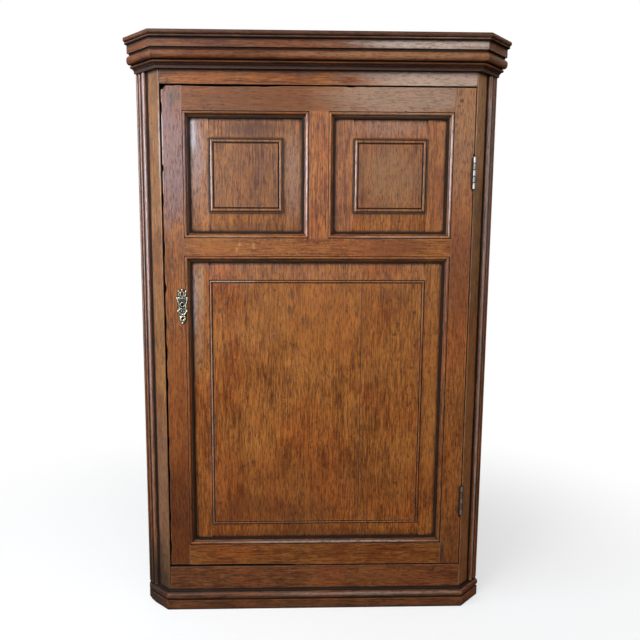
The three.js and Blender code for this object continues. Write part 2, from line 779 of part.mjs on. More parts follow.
/** The peg through the tenon of the top rail, or its hole when there is a clearance and an overrun. */
function pegCylinder(clearance, overrun) {
  const radius = PEG_RADIUS + clearance;
  const peg = new THREE.CylinderGeometry(radius, radius, DOOR_THICKNESS + 2 * overrun, ROUND_SIDES);
  const x = STILE_LINES.right + PEG_FROM_SHOULDER;
  return peg.translate(x, DOOR_THICKNESS / 2, DOOR_TOP - PEG_BELOW_DOOR_TOP);
}

function pegHole() {
  return pegCylinder(CONTACT_GAP, OVERRUN);
}

/** A panel in its groove, with a sloping margin and a moulding round its raised field. */
function fieldedPanel(opening, look) {
  const tongue = GROOVE_DEPTH - PANEL_TONGUE_PLAY;
  const inset = STUCK_WIDTH - tongue;
  const halfWidth = (opening.right - opening.left) / 2 - inset;
  const halfHeight = (opening.top - opening.bottom) / 2 - inset;
  const fieldStart = halfWidth - tongue - look.margin;
  const section = sectionShape(look.shares, look.width, look.relief).getPoints(CURVE_STEPS);
  const moulding = section
    .map(({ x: inwards, y: relief }) => {
      return new THREE.Vector2(fieldStart - inwards, PANEL_MARGIN_SETBACK - relief);
    })
    .reverse();
  const tongueFront = GROOVE_SETBACK + CONTACT_GAP;
  const back = GROOVE_BACK - CONTACT_GAP;
  const outline = [
    new THREE.Vector2(0, moulding[0].y),
    ...moulding,
    new THREE.Vector2(halfWidth - tongue, tongueFront),
    new THREE.Vector2(halfWidth, tongueFront),
    new THREE.Vector2(halfWidth, back),
    new THREE.Vector2(0, back),
  ];
  const geometry = new THREE.LatheGeometry(outline, 4, Math.PI / 4);
  const position = geometry.getAttribute('position');
  for (let i = 0; i < position.count; i += 1) {
    const radius = Math.hypot(position.getX(i), position.getZ(i));
    if (radius < WELD_DISTANCE) {
      continue;
    }
    const below = position.getZ(i) < 0 && radius < halfWidth - tongue - WELD_DISTANCE;
    const footShift = below ? look.margin - look.footMargin : 0;
    const reach = halfHeight - halfWidth + radius + footShift;
    position.setX(i, Math.sign(position.getX(i)) * radius);
    position.setZ(i, Math.sign(position.getZ(i)) * reach);
  }
  geometry.translate((opening.left + opening.right) / 2, 0, (opening.bottom + opening.top) / 2);
  return geometryOf(solidOf(geometry));
}

function upperPanel(opening) {
  return fieldedPanel(opening, {
    margin: UPPER_MARGIN,
    footMargin: UPPER_MARGIN,
    width: UPPER_MOULDING_WIDTH,
    relief: UPPER_MOULDING_RELIEF,
    shares: UPPER_FIELD_SHARES,
  });
}

/** One board of the lower panel, left (-1) or right (1) of the joint. */
function lowerPanelBoard(side) {
  const whole = fieldedPanel(LOWER_OPENING, {
    margin: LOWER_MARGIN,
    footMargin: LOWER_FOOT_MARGIN,
    width: LOWER_MOULDING_WIDTH,
    relief: LOWER_MOULDING_RELIEF,
    shares: LOWER_FIELD_SHARES,
  });
  const joint = DOOR_MIDDLE + BOARD_JOINT_FROM_CENTRE;
  const beyond = side > 0 ? LOWER_OPENING.left : LOWER_OPENING.right;
  const other = block(
    [joint + (side * CONTACT_GAP) / 2, beyond],
    [-OVERRUN, DOOR_THICKNESS + OVERRUN],
    [LOWER_OPENING.bottom, LOWER_OPENING.top],
  );
  return cutBy(whole, [other]);
}

/** The bore of a hinge, or its pin when there is no clearance and no overrun. */
function hingeRod(clearance, overrun) {
  const radius = HINGE_PIN_RADIUS + clearance;
  const rod = new THREE.CylinderGeometry(radius, radius, HINGE_LENGTH + 2 * overrun, ROUND_SIDES);
  return rod.rotateX(Math.PI / 2);
}

/** A hinge leaf about its own axis. The side is 1 for the leaf on the post and -1 on the door. */
function hingeLeaf(side) {
  const faces = [side * LEAF_FACE_GAP, side * (LEAF_FACE_GAP + LEAF_THICKNESS)];
  const half = HINGE_LENGTH / 2;
  const parts = [block(faces, [-HINGE_AXIS_Y, LEAF_DEPTH - HINGE_AXIS_Y], [-half, half])];
  const step = HINGE_LENGTH / KNUCKLE_COUNT;
  for (let index = side > 0 ? 1 : 0; index < KNUCKLE_COUNT; index += 2) {
    const length = step - CONTACT_GAP;
    const middle = (index + 1 / 2) * step - half;
    const barrel = new THREE.CylinderGeometry(KNUCKLE_RADIUS, KNUCKLE_RADIUS, length, ROUND_SIDES);
    parts.push(barrel.rotateX(Math.PI / 2).translate(0, 0, middle));
    parts.push(block(faces, [0, OVERRUN - HINGE_AXIS_Y], [middle - length / 2, middle + length / 2]));
  }
  const holes = screwHoles(side, 0).map((hole) => hole.translate(-HINGE_AXIS_X, -HINGE_AXIS_Y, 0));
  return cutBy(joined(parts), [hingeRod(CONTACT_GAP, OVERRUN), ...holes]);
}

/** One hinge: two leaves, the pin and the screws of both leaves. */
function hinge(name, middle) {
  const group = new THREE.Group();
  const leafNames = { 1: 'frame_leaf', '-1': 'door_leaf' };
  const screwNames = { 1: 'frame_screw', '-1': 'door_screw' };
  const leaves = [1, -1].map((side) => {
    return piece(`${name}_hinge_${leafNames[side]}`, hingeLeaf(side), FINISHES.brass);
  });
  const pin = piece(`${name}_hinge_pin`, hingeRod(0, 0), FINISHES.brass);
  [...leaves, pin].forEach((mesh) => mesh.position.set(HINGE_AXIS_X, HINGE_AXIS_Y, middle));
  group.add(...leaves, pin);
  [1, -1].forEach((side) => {
    screwPlaces(side, middle).forEach((place, index) => {
      const screw = new THREE.LatheGeometry(screwOutline(0, 0), SCREW_SIDES);
      const mesh = piece(`${name}_hinge_${screwNames[side]}_${index + 1}`, screw, FINISHES.iron);
      mesh.rotation.z = screwTurn(side);
      mesh.position.copy(place);
      group.add(mesh);
    });
  });
  return group;
}

/** The space that the lock takes in the back of the stile, open at the stile's edge. */
function lockPocket() {
  const half = LOCK_HEIGHT / 2 + CONTACT_GAP;
  return block(
    [DOOR_LEFT - OVERRUN, LOCK_RIGHT + CONTACT_GAP],
    [LOCK_FRONT - CONTACT_GAP, DOOR_THICKNESS + OVERRUN],
    [LOCK_CENTRE_HEIGHT - half, LOCK_CENTRE_HEIGHT + half],
  );
}

/** The keyhole: a round hole with a slot below, from the escutcheon to the inside of the lock. */
function keyholeCutter() {
  const front = -(ESCUTCHEON_THICKNESS + CONTACT_GAP + OVERRUN);
  const back = LOCK_FRONT + LOCK_WALL + CONTACT_GAP;
  const slotHalf = KEYHOLE_SLOT_WIDTH / 2;
  const round = new THREE.CylinderGeometry(KEYHOLE_RADIUS, KEYHOLE_RADIUS, back - front, ROUND_SIDES);
  round.translate(KEYHOLE_X, (front + back) / 2, LOCK_CENTRE_HEIGHT);
  const foot = LOCK_CENTRE_HEIGHT - KEYHOLE_SLOT_DROP;
  const slot = block([KEYHOLE_X - slotHalf, KEYHOLE_X + slotHalf], [front, back], [foot, LOCK_CENTRE_HEIGHT]);
  return joined([round, slot]);
}

/** The lock's case: a thin box with a keyhole and a slot for the bolt. */
function lockCase() {
  const half = LOCK_HEIGHT / 2;
  const zs = [LOCK_CENTRE_HEIGHT - half, LOCK_CENTRE_HEIGHT + half];
  const shell = block([LOCK_LEFT, LOCK_RIGHT], [LOCK_FRONT, DOOR_THICKNESS], zs);
  const hollow = block(
    [LOCK_LEFT + LOCK_WALL, LOCK_RIGHT - LOCK_WALL],
    [LOCK_FRONT + LOCK_WALL, DOOR_THICKNESS - LOCK_WALL],
    [zs[0] + LOCK_WALL, zs[1] - LOCK_WALL],
  );
  const boltHalf = BOLT_HEIGHT / 2 + CONTACT_GAP;
  const boltSlot = block(
    [LOCK_LEFT - OVERRUN, LOCK_LEFT + LOCK_WALL + CONTACT_GAP],
    [BOLT_FRONT - CONTACT_GAP, BOLT_FRONT + BOLT_THICKNESS + CONTACT_GAP],
    [BOLT_HEIGHT_MIDDLE - boltHalf, BOLT_HEIGHT_MIDDLE + boltHalf],
  );
  return cutBy(shell, [hollow, boltSlot, keyholeCutter()]);
}

function escutcheon() {
  const foot = LOCK_CENTRE_HEIGHT - ESCUTCHEON_KEYHOLE_RISE;
  const right = ESCUTCHEON_OUTLINE_SHARES.map(
    ([across, up]) => new THREE.Vector2(across * ESCUTCHEON_HALF_WIDTH, up * ESCUTCHEON_HEIGHT),
  );
  const left = onSide(-1, right.slice(1, -1)).reverse();
  const outline = new THREE.SplineCurve([...right, ...left, right[0]]).getPoints(ESCUTCHEON_STEPS).slice(1);
  const shape = new THREE.Shape(outline);
  ESCUTCHEON_PIERCING_SHARES.forEach(([up, acrossHalf, upHalf]) => {
    const hole = new THREE.Path();
    const [halfWidth, halfHeight] = [acrossHalf * ESCUTCHEON_HALF_WIDTH, upHalf * ESCUTCHEON_HEIGHT];
    hole.absellipse(0, up * ESCUTCHEON_HEIGHT, halfWidth, halfHeight, 0, 2 * Math.PI, false);
    shape.holes.push(hole);
  });
  const plate = new THREE.ExtrudeGeometry(shape, {
    depth: ESCUTCHEON_THICKNESS,
    bevelEnabled: false,
    curveSegments: CURVE_STEPS,
  });
  plate.rotateX(Math.PI / 2).translate(KEYHOLE_X, -CONTACT_GAP, foot);
  return cutBy(plate, [keyholeCutter()]);
}

/** The walls' boards and shelf bearers. A wall's length runs along X, and Y points into the cupboard. */
function wall(name, start, end) {
  const group = new THREE.Group();
  const boards = BACK_BOARD_WIDTH_SHARES.length;
  const usable = end.boards - start.boards - (boards - 1) * CONTACT_GAP;
  let from = start.boards;
  BACK_BOARD_WIDTH_SHARES.forEach((share, index) => {
    const width = share * usable;
    const mesh = piece(
      `${name}_back_board_${index + 1}`,
      new THREE.BoxGeometry(width, BACK_BOARD_THICKNESS, CARCASE_HEIGHT),
      FINISHES.inside,
    );
    mesh.position.set(from + width / 2, BACK_BOARD_THICKNESS / 2, CARCASE_HEIGHT / 2);
    group.add(mesh);
    from += width + CONTACT_GAP;
  });
  Object.entries(SHELF_BOTTOMS).forEach(([level, height]) => {
    const length = end.bearers - start.bearers;
    const mesh = piece(
      `${level}_${name}_bearer`,
      new THREE.BoxGeometry(length, BEARER_DEPTH, BEARER_HEIGHT),
      FINISHES.inside,
    );
    mesh.position.set(
      (start.bearers + end.bearers) / 2,
      BACK_BOARD_THICKNESS + CONTACT_GAP + BEARER_DEPTH / 2,
      height - CONTACT_GAP - BEARER_HEIGHT / 2,
    );
    group.add(mesh);
  });
  return group;
}

/** The right wall, counted from its cant, whose boards run through to the corner. */
function rightWall() {
  const start = { boards: 0, bearers: POST_THICKNESS + CONTACT_GAP };
  const end = { boards: WALL_LENGTH, bearers: WALL_LENGTH - BACK_BOARD_THICKNESS - CONTACT_GAP };
  const group = wall('right', start, end);
  group.position.set(WALL_X, CANT_RUN, 0);
  group.rotation.z = (3 * Math.PI) / 4;
  return group;
}

/** The left wall, counted from the corner, where it butts against the right one. */
function leftWall() {
  const butt = BACK_BOARD_THICKNESS + CONTACT_GAP;
  const start = { boards: butt, bearers: butt + BEARER_DEPTH + CONTACT_GAP };
  const end = { boards: WALL_LENGTH, bearers: WALL_LENGTH - POST_THICKNESS - CONTACT_GAP };
  const group = wall('left', start, end);
  group.position.set(0, CORNER_Y, 0);
  group.rotation.z = (5 * Math.PI) / 4;
  return group;
}

function doorStop() {
  const outer = -OPENING_HALF_WIDTH + CONTACT_GAP;
  const front = DOOR_THICKNESS + STOP_CLEARANCE;
  return block(
    [outer, outer + STOP_WIDTH],
    [front, front + STOP_DEPTH],
    [BOTTOM_RAIL_HEIGHT + CONTACT_GAP, OPENING_TOP - CONTACT_GAP],
  );
}

function lockBolt() {
  const half = BOLT_HEIGHT / 2;
  const tip = DOOR_LEFT;
  return block(
    [tip, tip + BOLT_LENGTH],
    [BOLT_FRONT, BOLT_FRONT + BOLT_THICKNESS],
    [BOLT_HEIGHT_MIDDLE - half, BOLT_HEIGHT_MIDDLE + half],
  );
}

/** A piece whose geometry stands on height zero, lifted to its height. */
function raised(mesh, height) {
  mesh.position.z = height;
  return mesh;
}

function carcase() {
  const group = new THREE.Group();
  const cornice = sectionShape(CORNICE_SECTION_SHARES, CORNICE_PROJECTION - CONTACT_GAP, CORNICE_HEIGHT);
  const baseProjection = BASE_MOULDING_PROJECTION - CONTACT_GAP;
  const base = sectionShape(BASE_SECTION_SHARES, baseProjection, BASE_MOULDING_HEIGHT);
  const reedingFoot = BASE_MOULDING_HEIGHT + CONTACT_GAP;
  group.add(
    piece('left_post', post(-1), FINISHES.carcase),
    piece('right_post', post(1), FINISHES.carcase),
    piece('bottom_rail', carcaseRail(0, BOTTOM_RAIL_HEIGHT), FINISHES.carcase),
    piece('frieze_rail', carcaseRail(OPENING_TOP, CARCASE_HEIGHT), FINISHES.carcase),
    raised(piece('left_reeded_moulding', reededMoulding(-1), FINISHES.moulding), reedingFoot),
    raised(piece('right_reeded_moulding', reededMoulding(1), FINISHES.moulding), reedingFoot),
    raised(piece('top_board', topBoard(), FINISHES.inside), CARCASE_HEIGHT + CONTACT_GAP),
    raised(piece('bottom_board', bottomBoard(), FINISHES.inside), BOTTOM_BOARD_TOP - BOTTOM_BOARD_THICKNESS),
    raised(piece('lower_shelf', shelf(), FINISHES.inside), SHELF_BOTTOMS.lower),
    raised(piece('upper_shelf', shelf(), FINISHES.inside), SHELF_BOTTOMS.upper),
    piece('door_stop', doorStop(), FINISHES.inside),
    ...mouldingSet('cornice', cornice, CORNICE_BOTTOM),
    ...mouldingSet('base_moulding', base, 0),
    leftWall(),
    rightWall(),
  );
  return group;
}

function door() {
  const group = new THREE.Group();
  group.add(
    piece('lock_stile', lockStile(), FINISHES.frame),
    piece('hinge_stile', hingeStile(), FINISHES.frame),
    piece('door_top_rail', doorTopRail(), FINISHES.frame),
    piece('door_mid_rail', doorMidRail(), FINISHES.frame),
    piece('door_bottom_rail', doorBottomRail(), FINISHES.frame),
    piece('muntin', muntin(), FINISHES.frame),
    piece('upper_left_panel', upperPanel(UPPER_LEFT_OPENING), FINISHES.panel),
    piece('upper_right_panel', upperPanel(UPPER_RIGHT_OPENING), FINISHES.panel),
    piece('lower_panel_left_board', lowerPanelBoard(-1), FINISHES.panel),
    piece('lower_panel_right_board', lowerPanelBoard(1), FINISHES.panel),
    piece('top_rail_peg', pegCylinder(0, 0), FINISHES.frame),
    piece('escutcheon', escutcheon(), FINISHES.brass),
    piece('lock_case', lockCase(), FINISHES.iron),
    piece('lock_bolt', lockBolt(), FINISHES.iron),
  );
  return group;
}

// The origin is on the underside, in the middle of the width and depth over the cornice.
const cupboard = new THREE.Group();
cupboard.add(carcase(), door(), hinge('upper', HINGE_HEIGHTS.upper), hinge('lower', HINGE_HEIGHTS.lower));
cupboard.position.y = -(CORNER_Y - CORNICE_PROJECTION) / 2;

export default cupboard;
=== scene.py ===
"""Looks of a hanging corner cupboard in old waxed oak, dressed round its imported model."""

import json
import logging
import math
import random
from collections.abc import Callable
from dataclasses import dataclass, replace
from enum import Enum

import bpy
from mathutils import Matrix, Vector

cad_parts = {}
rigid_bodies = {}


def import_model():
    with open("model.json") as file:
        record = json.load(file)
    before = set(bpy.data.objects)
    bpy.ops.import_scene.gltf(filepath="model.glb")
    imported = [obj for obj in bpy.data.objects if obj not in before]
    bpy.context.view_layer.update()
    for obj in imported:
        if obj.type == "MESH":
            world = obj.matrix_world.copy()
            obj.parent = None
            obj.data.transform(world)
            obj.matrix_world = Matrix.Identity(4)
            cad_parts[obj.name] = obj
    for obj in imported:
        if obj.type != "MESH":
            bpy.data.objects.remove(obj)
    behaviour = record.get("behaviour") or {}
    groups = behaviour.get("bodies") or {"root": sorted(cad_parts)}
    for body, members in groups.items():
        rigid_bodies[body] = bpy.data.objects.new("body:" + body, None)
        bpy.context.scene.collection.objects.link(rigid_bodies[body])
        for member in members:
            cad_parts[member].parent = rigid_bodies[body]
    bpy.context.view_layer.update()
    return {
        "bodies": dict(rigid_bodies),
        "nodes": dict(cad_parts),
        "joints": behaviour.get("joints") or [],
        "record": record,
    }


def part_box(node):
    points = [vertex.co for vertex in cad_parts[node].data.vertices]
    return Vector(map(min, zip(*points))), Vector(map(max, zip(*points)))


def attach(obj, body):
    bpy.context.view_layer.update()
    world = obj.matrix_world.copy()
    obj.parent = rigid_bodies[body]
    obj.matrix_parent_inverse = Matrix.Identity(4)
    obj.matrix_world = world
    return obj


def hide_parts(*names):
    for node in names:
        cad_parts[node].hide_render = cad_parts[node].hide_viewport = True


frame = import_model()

Colour = tuple[float, float, float, float]
Triple = tuple[float, float, float]
Socket = bpy.types.NodeSocket

LOG = logging.getLogger("cupboard")
LOW, HIGH = 0, 1
X, Y, Z = 0, 1, 2

# Corners closer than this are one, and faces that differ by fewer degrees are one
MERGE_DISTANCE = 0.00002
FLAT_DEGREES = 0.4
# Degrees above which an edge of the metal work counts as sharp
METAL_SHARP = 50.0
# How far the corners of a ragged stone wander, beside its smallest half size
RAGGEDNESS = 0.35


def edge(node: str, end: int, axis: int) -> float:
    """Where a CAD node's box begins or ends on an axis, to a thousandth of a millimetre."""
    return round(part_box(node)[end][axis], 6)


def centre_of(node: str, axis: int) -> float:
    """The middle of a CAD node's box on an axis, rounded alike."""
    return round((edge(node, LOW, axis) + edge(node, HIGH, axis)) / 2, 6)


# The front face of the door and of the posts
FACE_Y = edge("lock_stile", LOW, Y)
# The front face of the key plate, and the fronts of the hinges' knuckles
PLATE_Y = FACE_Y - 0.0021
KNUCKLE_Y = FACE_Y - 0.0059


def rgb(red: float, green: float, blue: float) -> Colour:
    """An opaque colour from its linear parts."""
    return (red, green, blue, 1.0)


def toned(colour: Colour, tone: float) -> Colour:
    """A colour made lighter or darker."""
    return rgb(*(part * tone for part in colour[:3]))


# Painted highlights along the flanks of beads, a bright one and a dimmer one, and painted shade that darkens
# other beads
PAINTED_HIGHLIGHT = rgb(0.6, 0.54, 0.56)
DIM_PAINTED_HIGHLIGHT = rgb(0.4, 0.34, 0.29)
PAINTED_BEAD_SHADE = rgb(0.17, 0.085, 0.042)


class Value:
    """A number that varies over a surface: one output socket with the usual operators."""

    def __init__(self, graph: "Graph", socket: Socket) -> None:
        """Wrap a socket of a graph."""
        self.graph = graph
        self.socket = socket

    def _math(self, operation: str, first: "Value | float", second: "Value | float") -> "Value":
        """Join two numbers by a Math node.

        Args:
            operation: The node's operation.
            first: Its first number.
            second: Its second number.

        Returns:
            The node's result.
        """
        node = self.graph.node("ShaderNodeMath", {"operation": operation}, {0: first, 1: second})
        return Value(self.graph, node.outputs[0])

    def __add__(self, other: "Value | float") -> "Value":
        """This number plus another."""
        return self._math("ADD", self, other)

    def __radd__(self, other: float) -> "Value":
        """A plain number plus this one."""
        return self._math("ADD", other, self)

    def __sub__(self, other: "Value | float") -> "Value":
        """This number less another."""
        return self._math("SUBTRACT", self, other)

    def __rsub__(self, other: float) -> "Value":
        """A plain number less this one."""
        return self._math("SUBTRACT", other, self)

    def __mul__(self, other: "Value | float") -> "Value":
        """This number times another."""
        return self._math("MULTIPLY", self, other)

    def __rmul__(self, other: float) -> "Value":
        """A plain number times this one."""
        return self._math("MULTIPLY", other, self)

    def sine(self) -> "Value":
        """The sine of this number."""
        return self._math("SINE", self, 0.0)

    def larger(self, other: "Value | float") -> "Value":
        """The larger of this number and another."""
        return self._math("MAXIMUM", self, other)


class Graph:
    """The node tree of one material or of the world."""

    def __init__(self, owner: bpy.types.Material | bpy.types.World) -> None:
        """Start an empty tree on its owner."""
        owner.use_nodes = True
        self.tree = owner.node_tree
        self.tree.nodes.clear()

    def node(self, kind: str, settings: dict | None = None, inputs: dict | None = None) -> bpy.types.Node:
        """Add a node.

        Args:
            kind: The node's type.
            settings: Its properties, which are set first.
            inputs: A number, colour, Value or socket for each input, by name or place.

        Returns:
            The new node.
        """
        made = self.tree.nodes.new(kind)
        for name, setting in (settings or {}).items():
            setattr(made, name, setting)
        for key, given in (inputs or {}).items():
            source = given.socket if isinstance(given, Value) else given
            if isinstance(source, Socket):
                self.tree.links.new(source, made.inputs[key])
            else:
                made.inputs[key].default_value = source
        return made

    def place(self) -> Socket:
        """Places on the piece, in the shared frame."""
        return self.node("ShaderNodeTexCoord").outputs["Object"]

    def turned(self, vector: Socket, turn: Triple, shift: Triple = (0.0, 0.0, 0.0)) -> Socket:
        """Turn and move a pattern's places.

        Args:
            vector: The places.
            turn: Angles about the three axes.
            shift: How far they move afterwards.

        Returns:
            The new places.
        """
        inputs = {"Vector": vector, "Rotation": turn, "Location": shift}
        return self.node("ShaderNodeMapping", None, inputs).outputs[0]

    def vector(
        self, operation: str, first: Socket, second: Socket | Triple = (0.0, 0.0, 0.0)
    ) -> bpy.types.Node:
        """Add a Vector Math node.

        Args:
            operation: The node's operation.
            first: Its first vector.
            second: Its second vector.

        Returns:
            The node.
        """
        return self.node("ShaderNodeVectorMath", {"operation": operation}, {0: first, 1: second})

    def length(self, vector: Socket) -> Value:
        """The length of a vector."""
        return Value(self, self.vector("LENGTH", vector).outputs["Value"])

    def part(self, vector: Socket, axis: int) -> Value:
        """One part of a vector."""
        return Value(self, self.node("ShaderNodeSeparateXYZ", None, {0: vector}).outputs[axis])

    def noise(self, places: Socket, scale: Triple, detail: float = 2.0, roughness: float = 0.5) -> Value:
        """Cloudy noise, drawn out by a different scale on each axis.

        Args:
            places: Where it is read.
            scale: Features per metre on each axis.
            detail: Octaves.
            roughness: How strong the finer ones are.

        Returns:
            A number about one half.
        """
        scaled = self.vector("MULTIPLY", places, scale).outputs[0]
        inputs = {"Vector": scaled, "Scale": 1.0, "Detail": detail, "Roughness": roughness}
        return Value(self, self.node("ShaderNodeTexNoise", None, inputs).outputs[0])

    def step(self, value: Value, low: float, high: float, top: float = 1.0) -> Value:
        """A soft step.

        Args:
            value: The number that it follows.
            low: Where it is nothing.
            high: Where it is full.
            top: Its full height.

        Returns:
            The step.
        """
        inputs = {0: value, 1: low, 2: high, 3: 0.0, 4: top}
        made = self.node("ShaderNodeMapRange", {"interpolation_type": "SMOOTHSTEP"}, inputs)
        return Value(self, made.outputs[0])

    def blend(
        self, first: Socket | Colour, second: Socket | Colour, share: Value | float, mode: str = "MIX"
    ) -> Socket:
        """Mix two colours.

        Args:
            first: The colour where the share is nothing.
            second: The colour where it is one.
            share: How much of the second shows.
            mode: How they mix.

        Returns:
            The mixed colour.
        """
        settings = {"data_type": "RGBA", "blend_type": mode, "clamp_factor": True}
        return self.node("ShaderNodeMix", settings, {0: share, 6: first, 7: second}).outputs[2]

    def ray(self, kind: str) -> Value:
        """One where a ray is of this kind, such as a camera ray."""
        return Value(self, self.node("ShaderNodeLightPath").outputs[kind])

    def hollows(self, distance: float) -> Value:
        """How open a place is, from nothing in a deep corner to one on a free face."""
        made = self.node("ShaderNodeAmbientOcclusion", {"samples": 6}, {"Distance": distance})
        return Value(self, made.outputs["AO"])

    def bends(self, radius: float) -> Value:
        """Where a piece bends, outwards or inwards.

        Args:
            radius: How far from an edge that counts.

        Returns:
            A number up to one, and nothing on flat faces.
        """
        rounded = self.node("ShaderNodeBevel", {"samples": 4}, {"Radius": radius}).outputs[0]
        straight = self.node("ShaderNodeNewGeometry").outputs["Normal"]
        along = Value(self, self.vector("DOT_PRODUCT", rounded, straight).outputs["Value"])
        return self.step(1.0 - along, 0.008, 0.14)

    def bump(self, height: Value, strength: float, distance: float, under: Socket | None = None) -> Socket:
        """Raise a surface by a height.

        Args:
            height: The height, about one half.
            strength: How much of it counts.
            distance: Metres for a height of one.
            under: The normal below it.

        Returns:
            The new normal.
        """
        inputs = {"Strength": strength, "Distance": distance, "Height": height}
        if under is not None:
            inputs["Normal"] = under
        return self.node("ShaderNodeBump", None, inputs).outputs[0]

    def principled(self, inputs: dict) -> Socket:
        """Add a surface shader with these inputs."""
        return self.node("ShaderNodeBsdfPrincipled", None, inputs).outputs[0]

    def mixed(self, first: Socket, second: Socket, share: Value) -> Socket:
        """Mix two shaders by the share of the second."""
        return self.node("ShaderNodeMixShader", None, {0: share, 1: first, 2: second}).outputs[0]

    def surface(self, shader: Socket) -> None:
        """End the tree in a shader."""
        self.node("ShaderNodeOutputMaterial", None, {"Surface": shader})


class Grain(Enum):
    """Which way the grain runs, as the turn that stands it upright."""

    UPRIGHT = (0.0, 0.0, 0.0)
    ACROSS = (math.pi / 2, -math.pi / 2, 0.0)
    RIGHTWARD_BACK = (math.pi / 2, -math.pi / 4, 0.0)
    LEFTWARD_BACK = (math.pi / 2, math.pi / 4, 0.0)
    INWARD = (math.pi / 2, 0.0, 0.0)


@dataclass(frozen=True)
class Patch:
    """A bleached, rubbed or dirty place, or a painted sheen, highlight or shade, on a surface, in the shared
    frame.

    Attributes:
        centre: Where it is.
        reach: How far it goes on each axis.
        colour: Its colour, or none for matt black, which covers worn edges too: soiling, and painted shade in
            creases and under edges.
        strength: How much of it shows in its middle.
    """

    centre: Triple
    reach: Triple
    colour: Colour | None
    strength: float

    def share(self, graph: Graph, places: Socket, ragged: Value) -> Value:
        """How much of the patch shows at a place.

        Args:
            graph: The material's tree.
            places: Places on the piece.
            ragged: Noise that breaks its edge.

        Returns:
            The share.
        """
        away = graph.vector("SUBTRACT", places, self.centre).outputs[0]
        scaled = graph.vector("DIVIDE", away, self.reach).outputs[0]
        return graph.step(graph.length(scaled) + (ragged - 0.5) * 0.9, 1.1, 0.35, self.strength)


class Board:
    """The patterns in and on one oak board, each a number that varies over it."""

    def __init__(self, graph: Graph, name: str, grain: Grain, ring_rate: float, swirl: float) -> None:
        """Lay out the patterns.

        Args:
            graph: The material's tree.
            name: The piece's name, which picks the board's place in the tree that it was sawn from.
            grain: Which way its grain runs.
            ring_rate: How close its rings are, in radians per metre.
            swirl: How far its rings wander.
        """
        chance = random.Random(name)
        shift = (chance.uniform(0.12, 0.3), chance.uniform(0.06, 0.2), chance.uniform(-3.0, 3.0))
        self.places = graph.place()
        board = graph.turned(self.places, grain.value, shift)
        sway = graph.noise(board, (9.0, 9.0, 2.4), 2.0)
        radius = graph.length(graph.vector("MULTIPLY", board, (1.0, 1.0, 0.035)).outputs[0])
        slanted = graph.turned(board, (0.5, 0.0, 0.0))
        self.rings = (radius * ring_rate + sway * swirl).sine() * 0.5 + 0.5
        self.streaks = graph.noise(board, (380.0, 380.0, 26.0), 3.0, 0.68)
        self.bands = graph.noise(board, (60.0, 60.0, 4.0), 2.0)
        self.fibres = graph.noise(board, (1100.0, 1100.0, 60.0), 2.0, 0.6)
        self.flecks = graph.step(graph.noise(board, (560.0, 560.0, 75.0), 2.0, 0.7), 0.5, 0.64)
        pits = graph.step(graph.noise(board, (1500.0, 1500.0, 90.0), 1.0), 0.6, 0.74)
        self.pores = pits * (self.rings * 0.7 + 0.3)
        self.rays = graph.step(graph.noise(slanted, (60.0, 130.0, 420.0), 2.0), 0.57, 0.68)
        self.ragged = graph.noise(board, (60.0, 60.0, 16.0), 3.0, 0.65)
        self.clouds = graph.noise(self.places, (19.0, 19.0, 13.0), 4.0, 0.62)
        self.blush = graph.noise(self.places, (8.0, 8.0, 5.5), 3.0, 0.6)
        self.marks = graph.step(graph.noise(self.places, (95.0, 95.0, 60.0), 3.0, 0.75), 0.6, 0.72)
        self.waves = graph.noise(self.places, (11.0, 11.0, 7.0), 2.0)
        self.openness = graph.hollows(0.02)
        self.creases = graph.hollows(0.007)
        self.bends = graph.bends(0.0022)
        self.free = graph.step(self.creases, 0.66, 0.9)


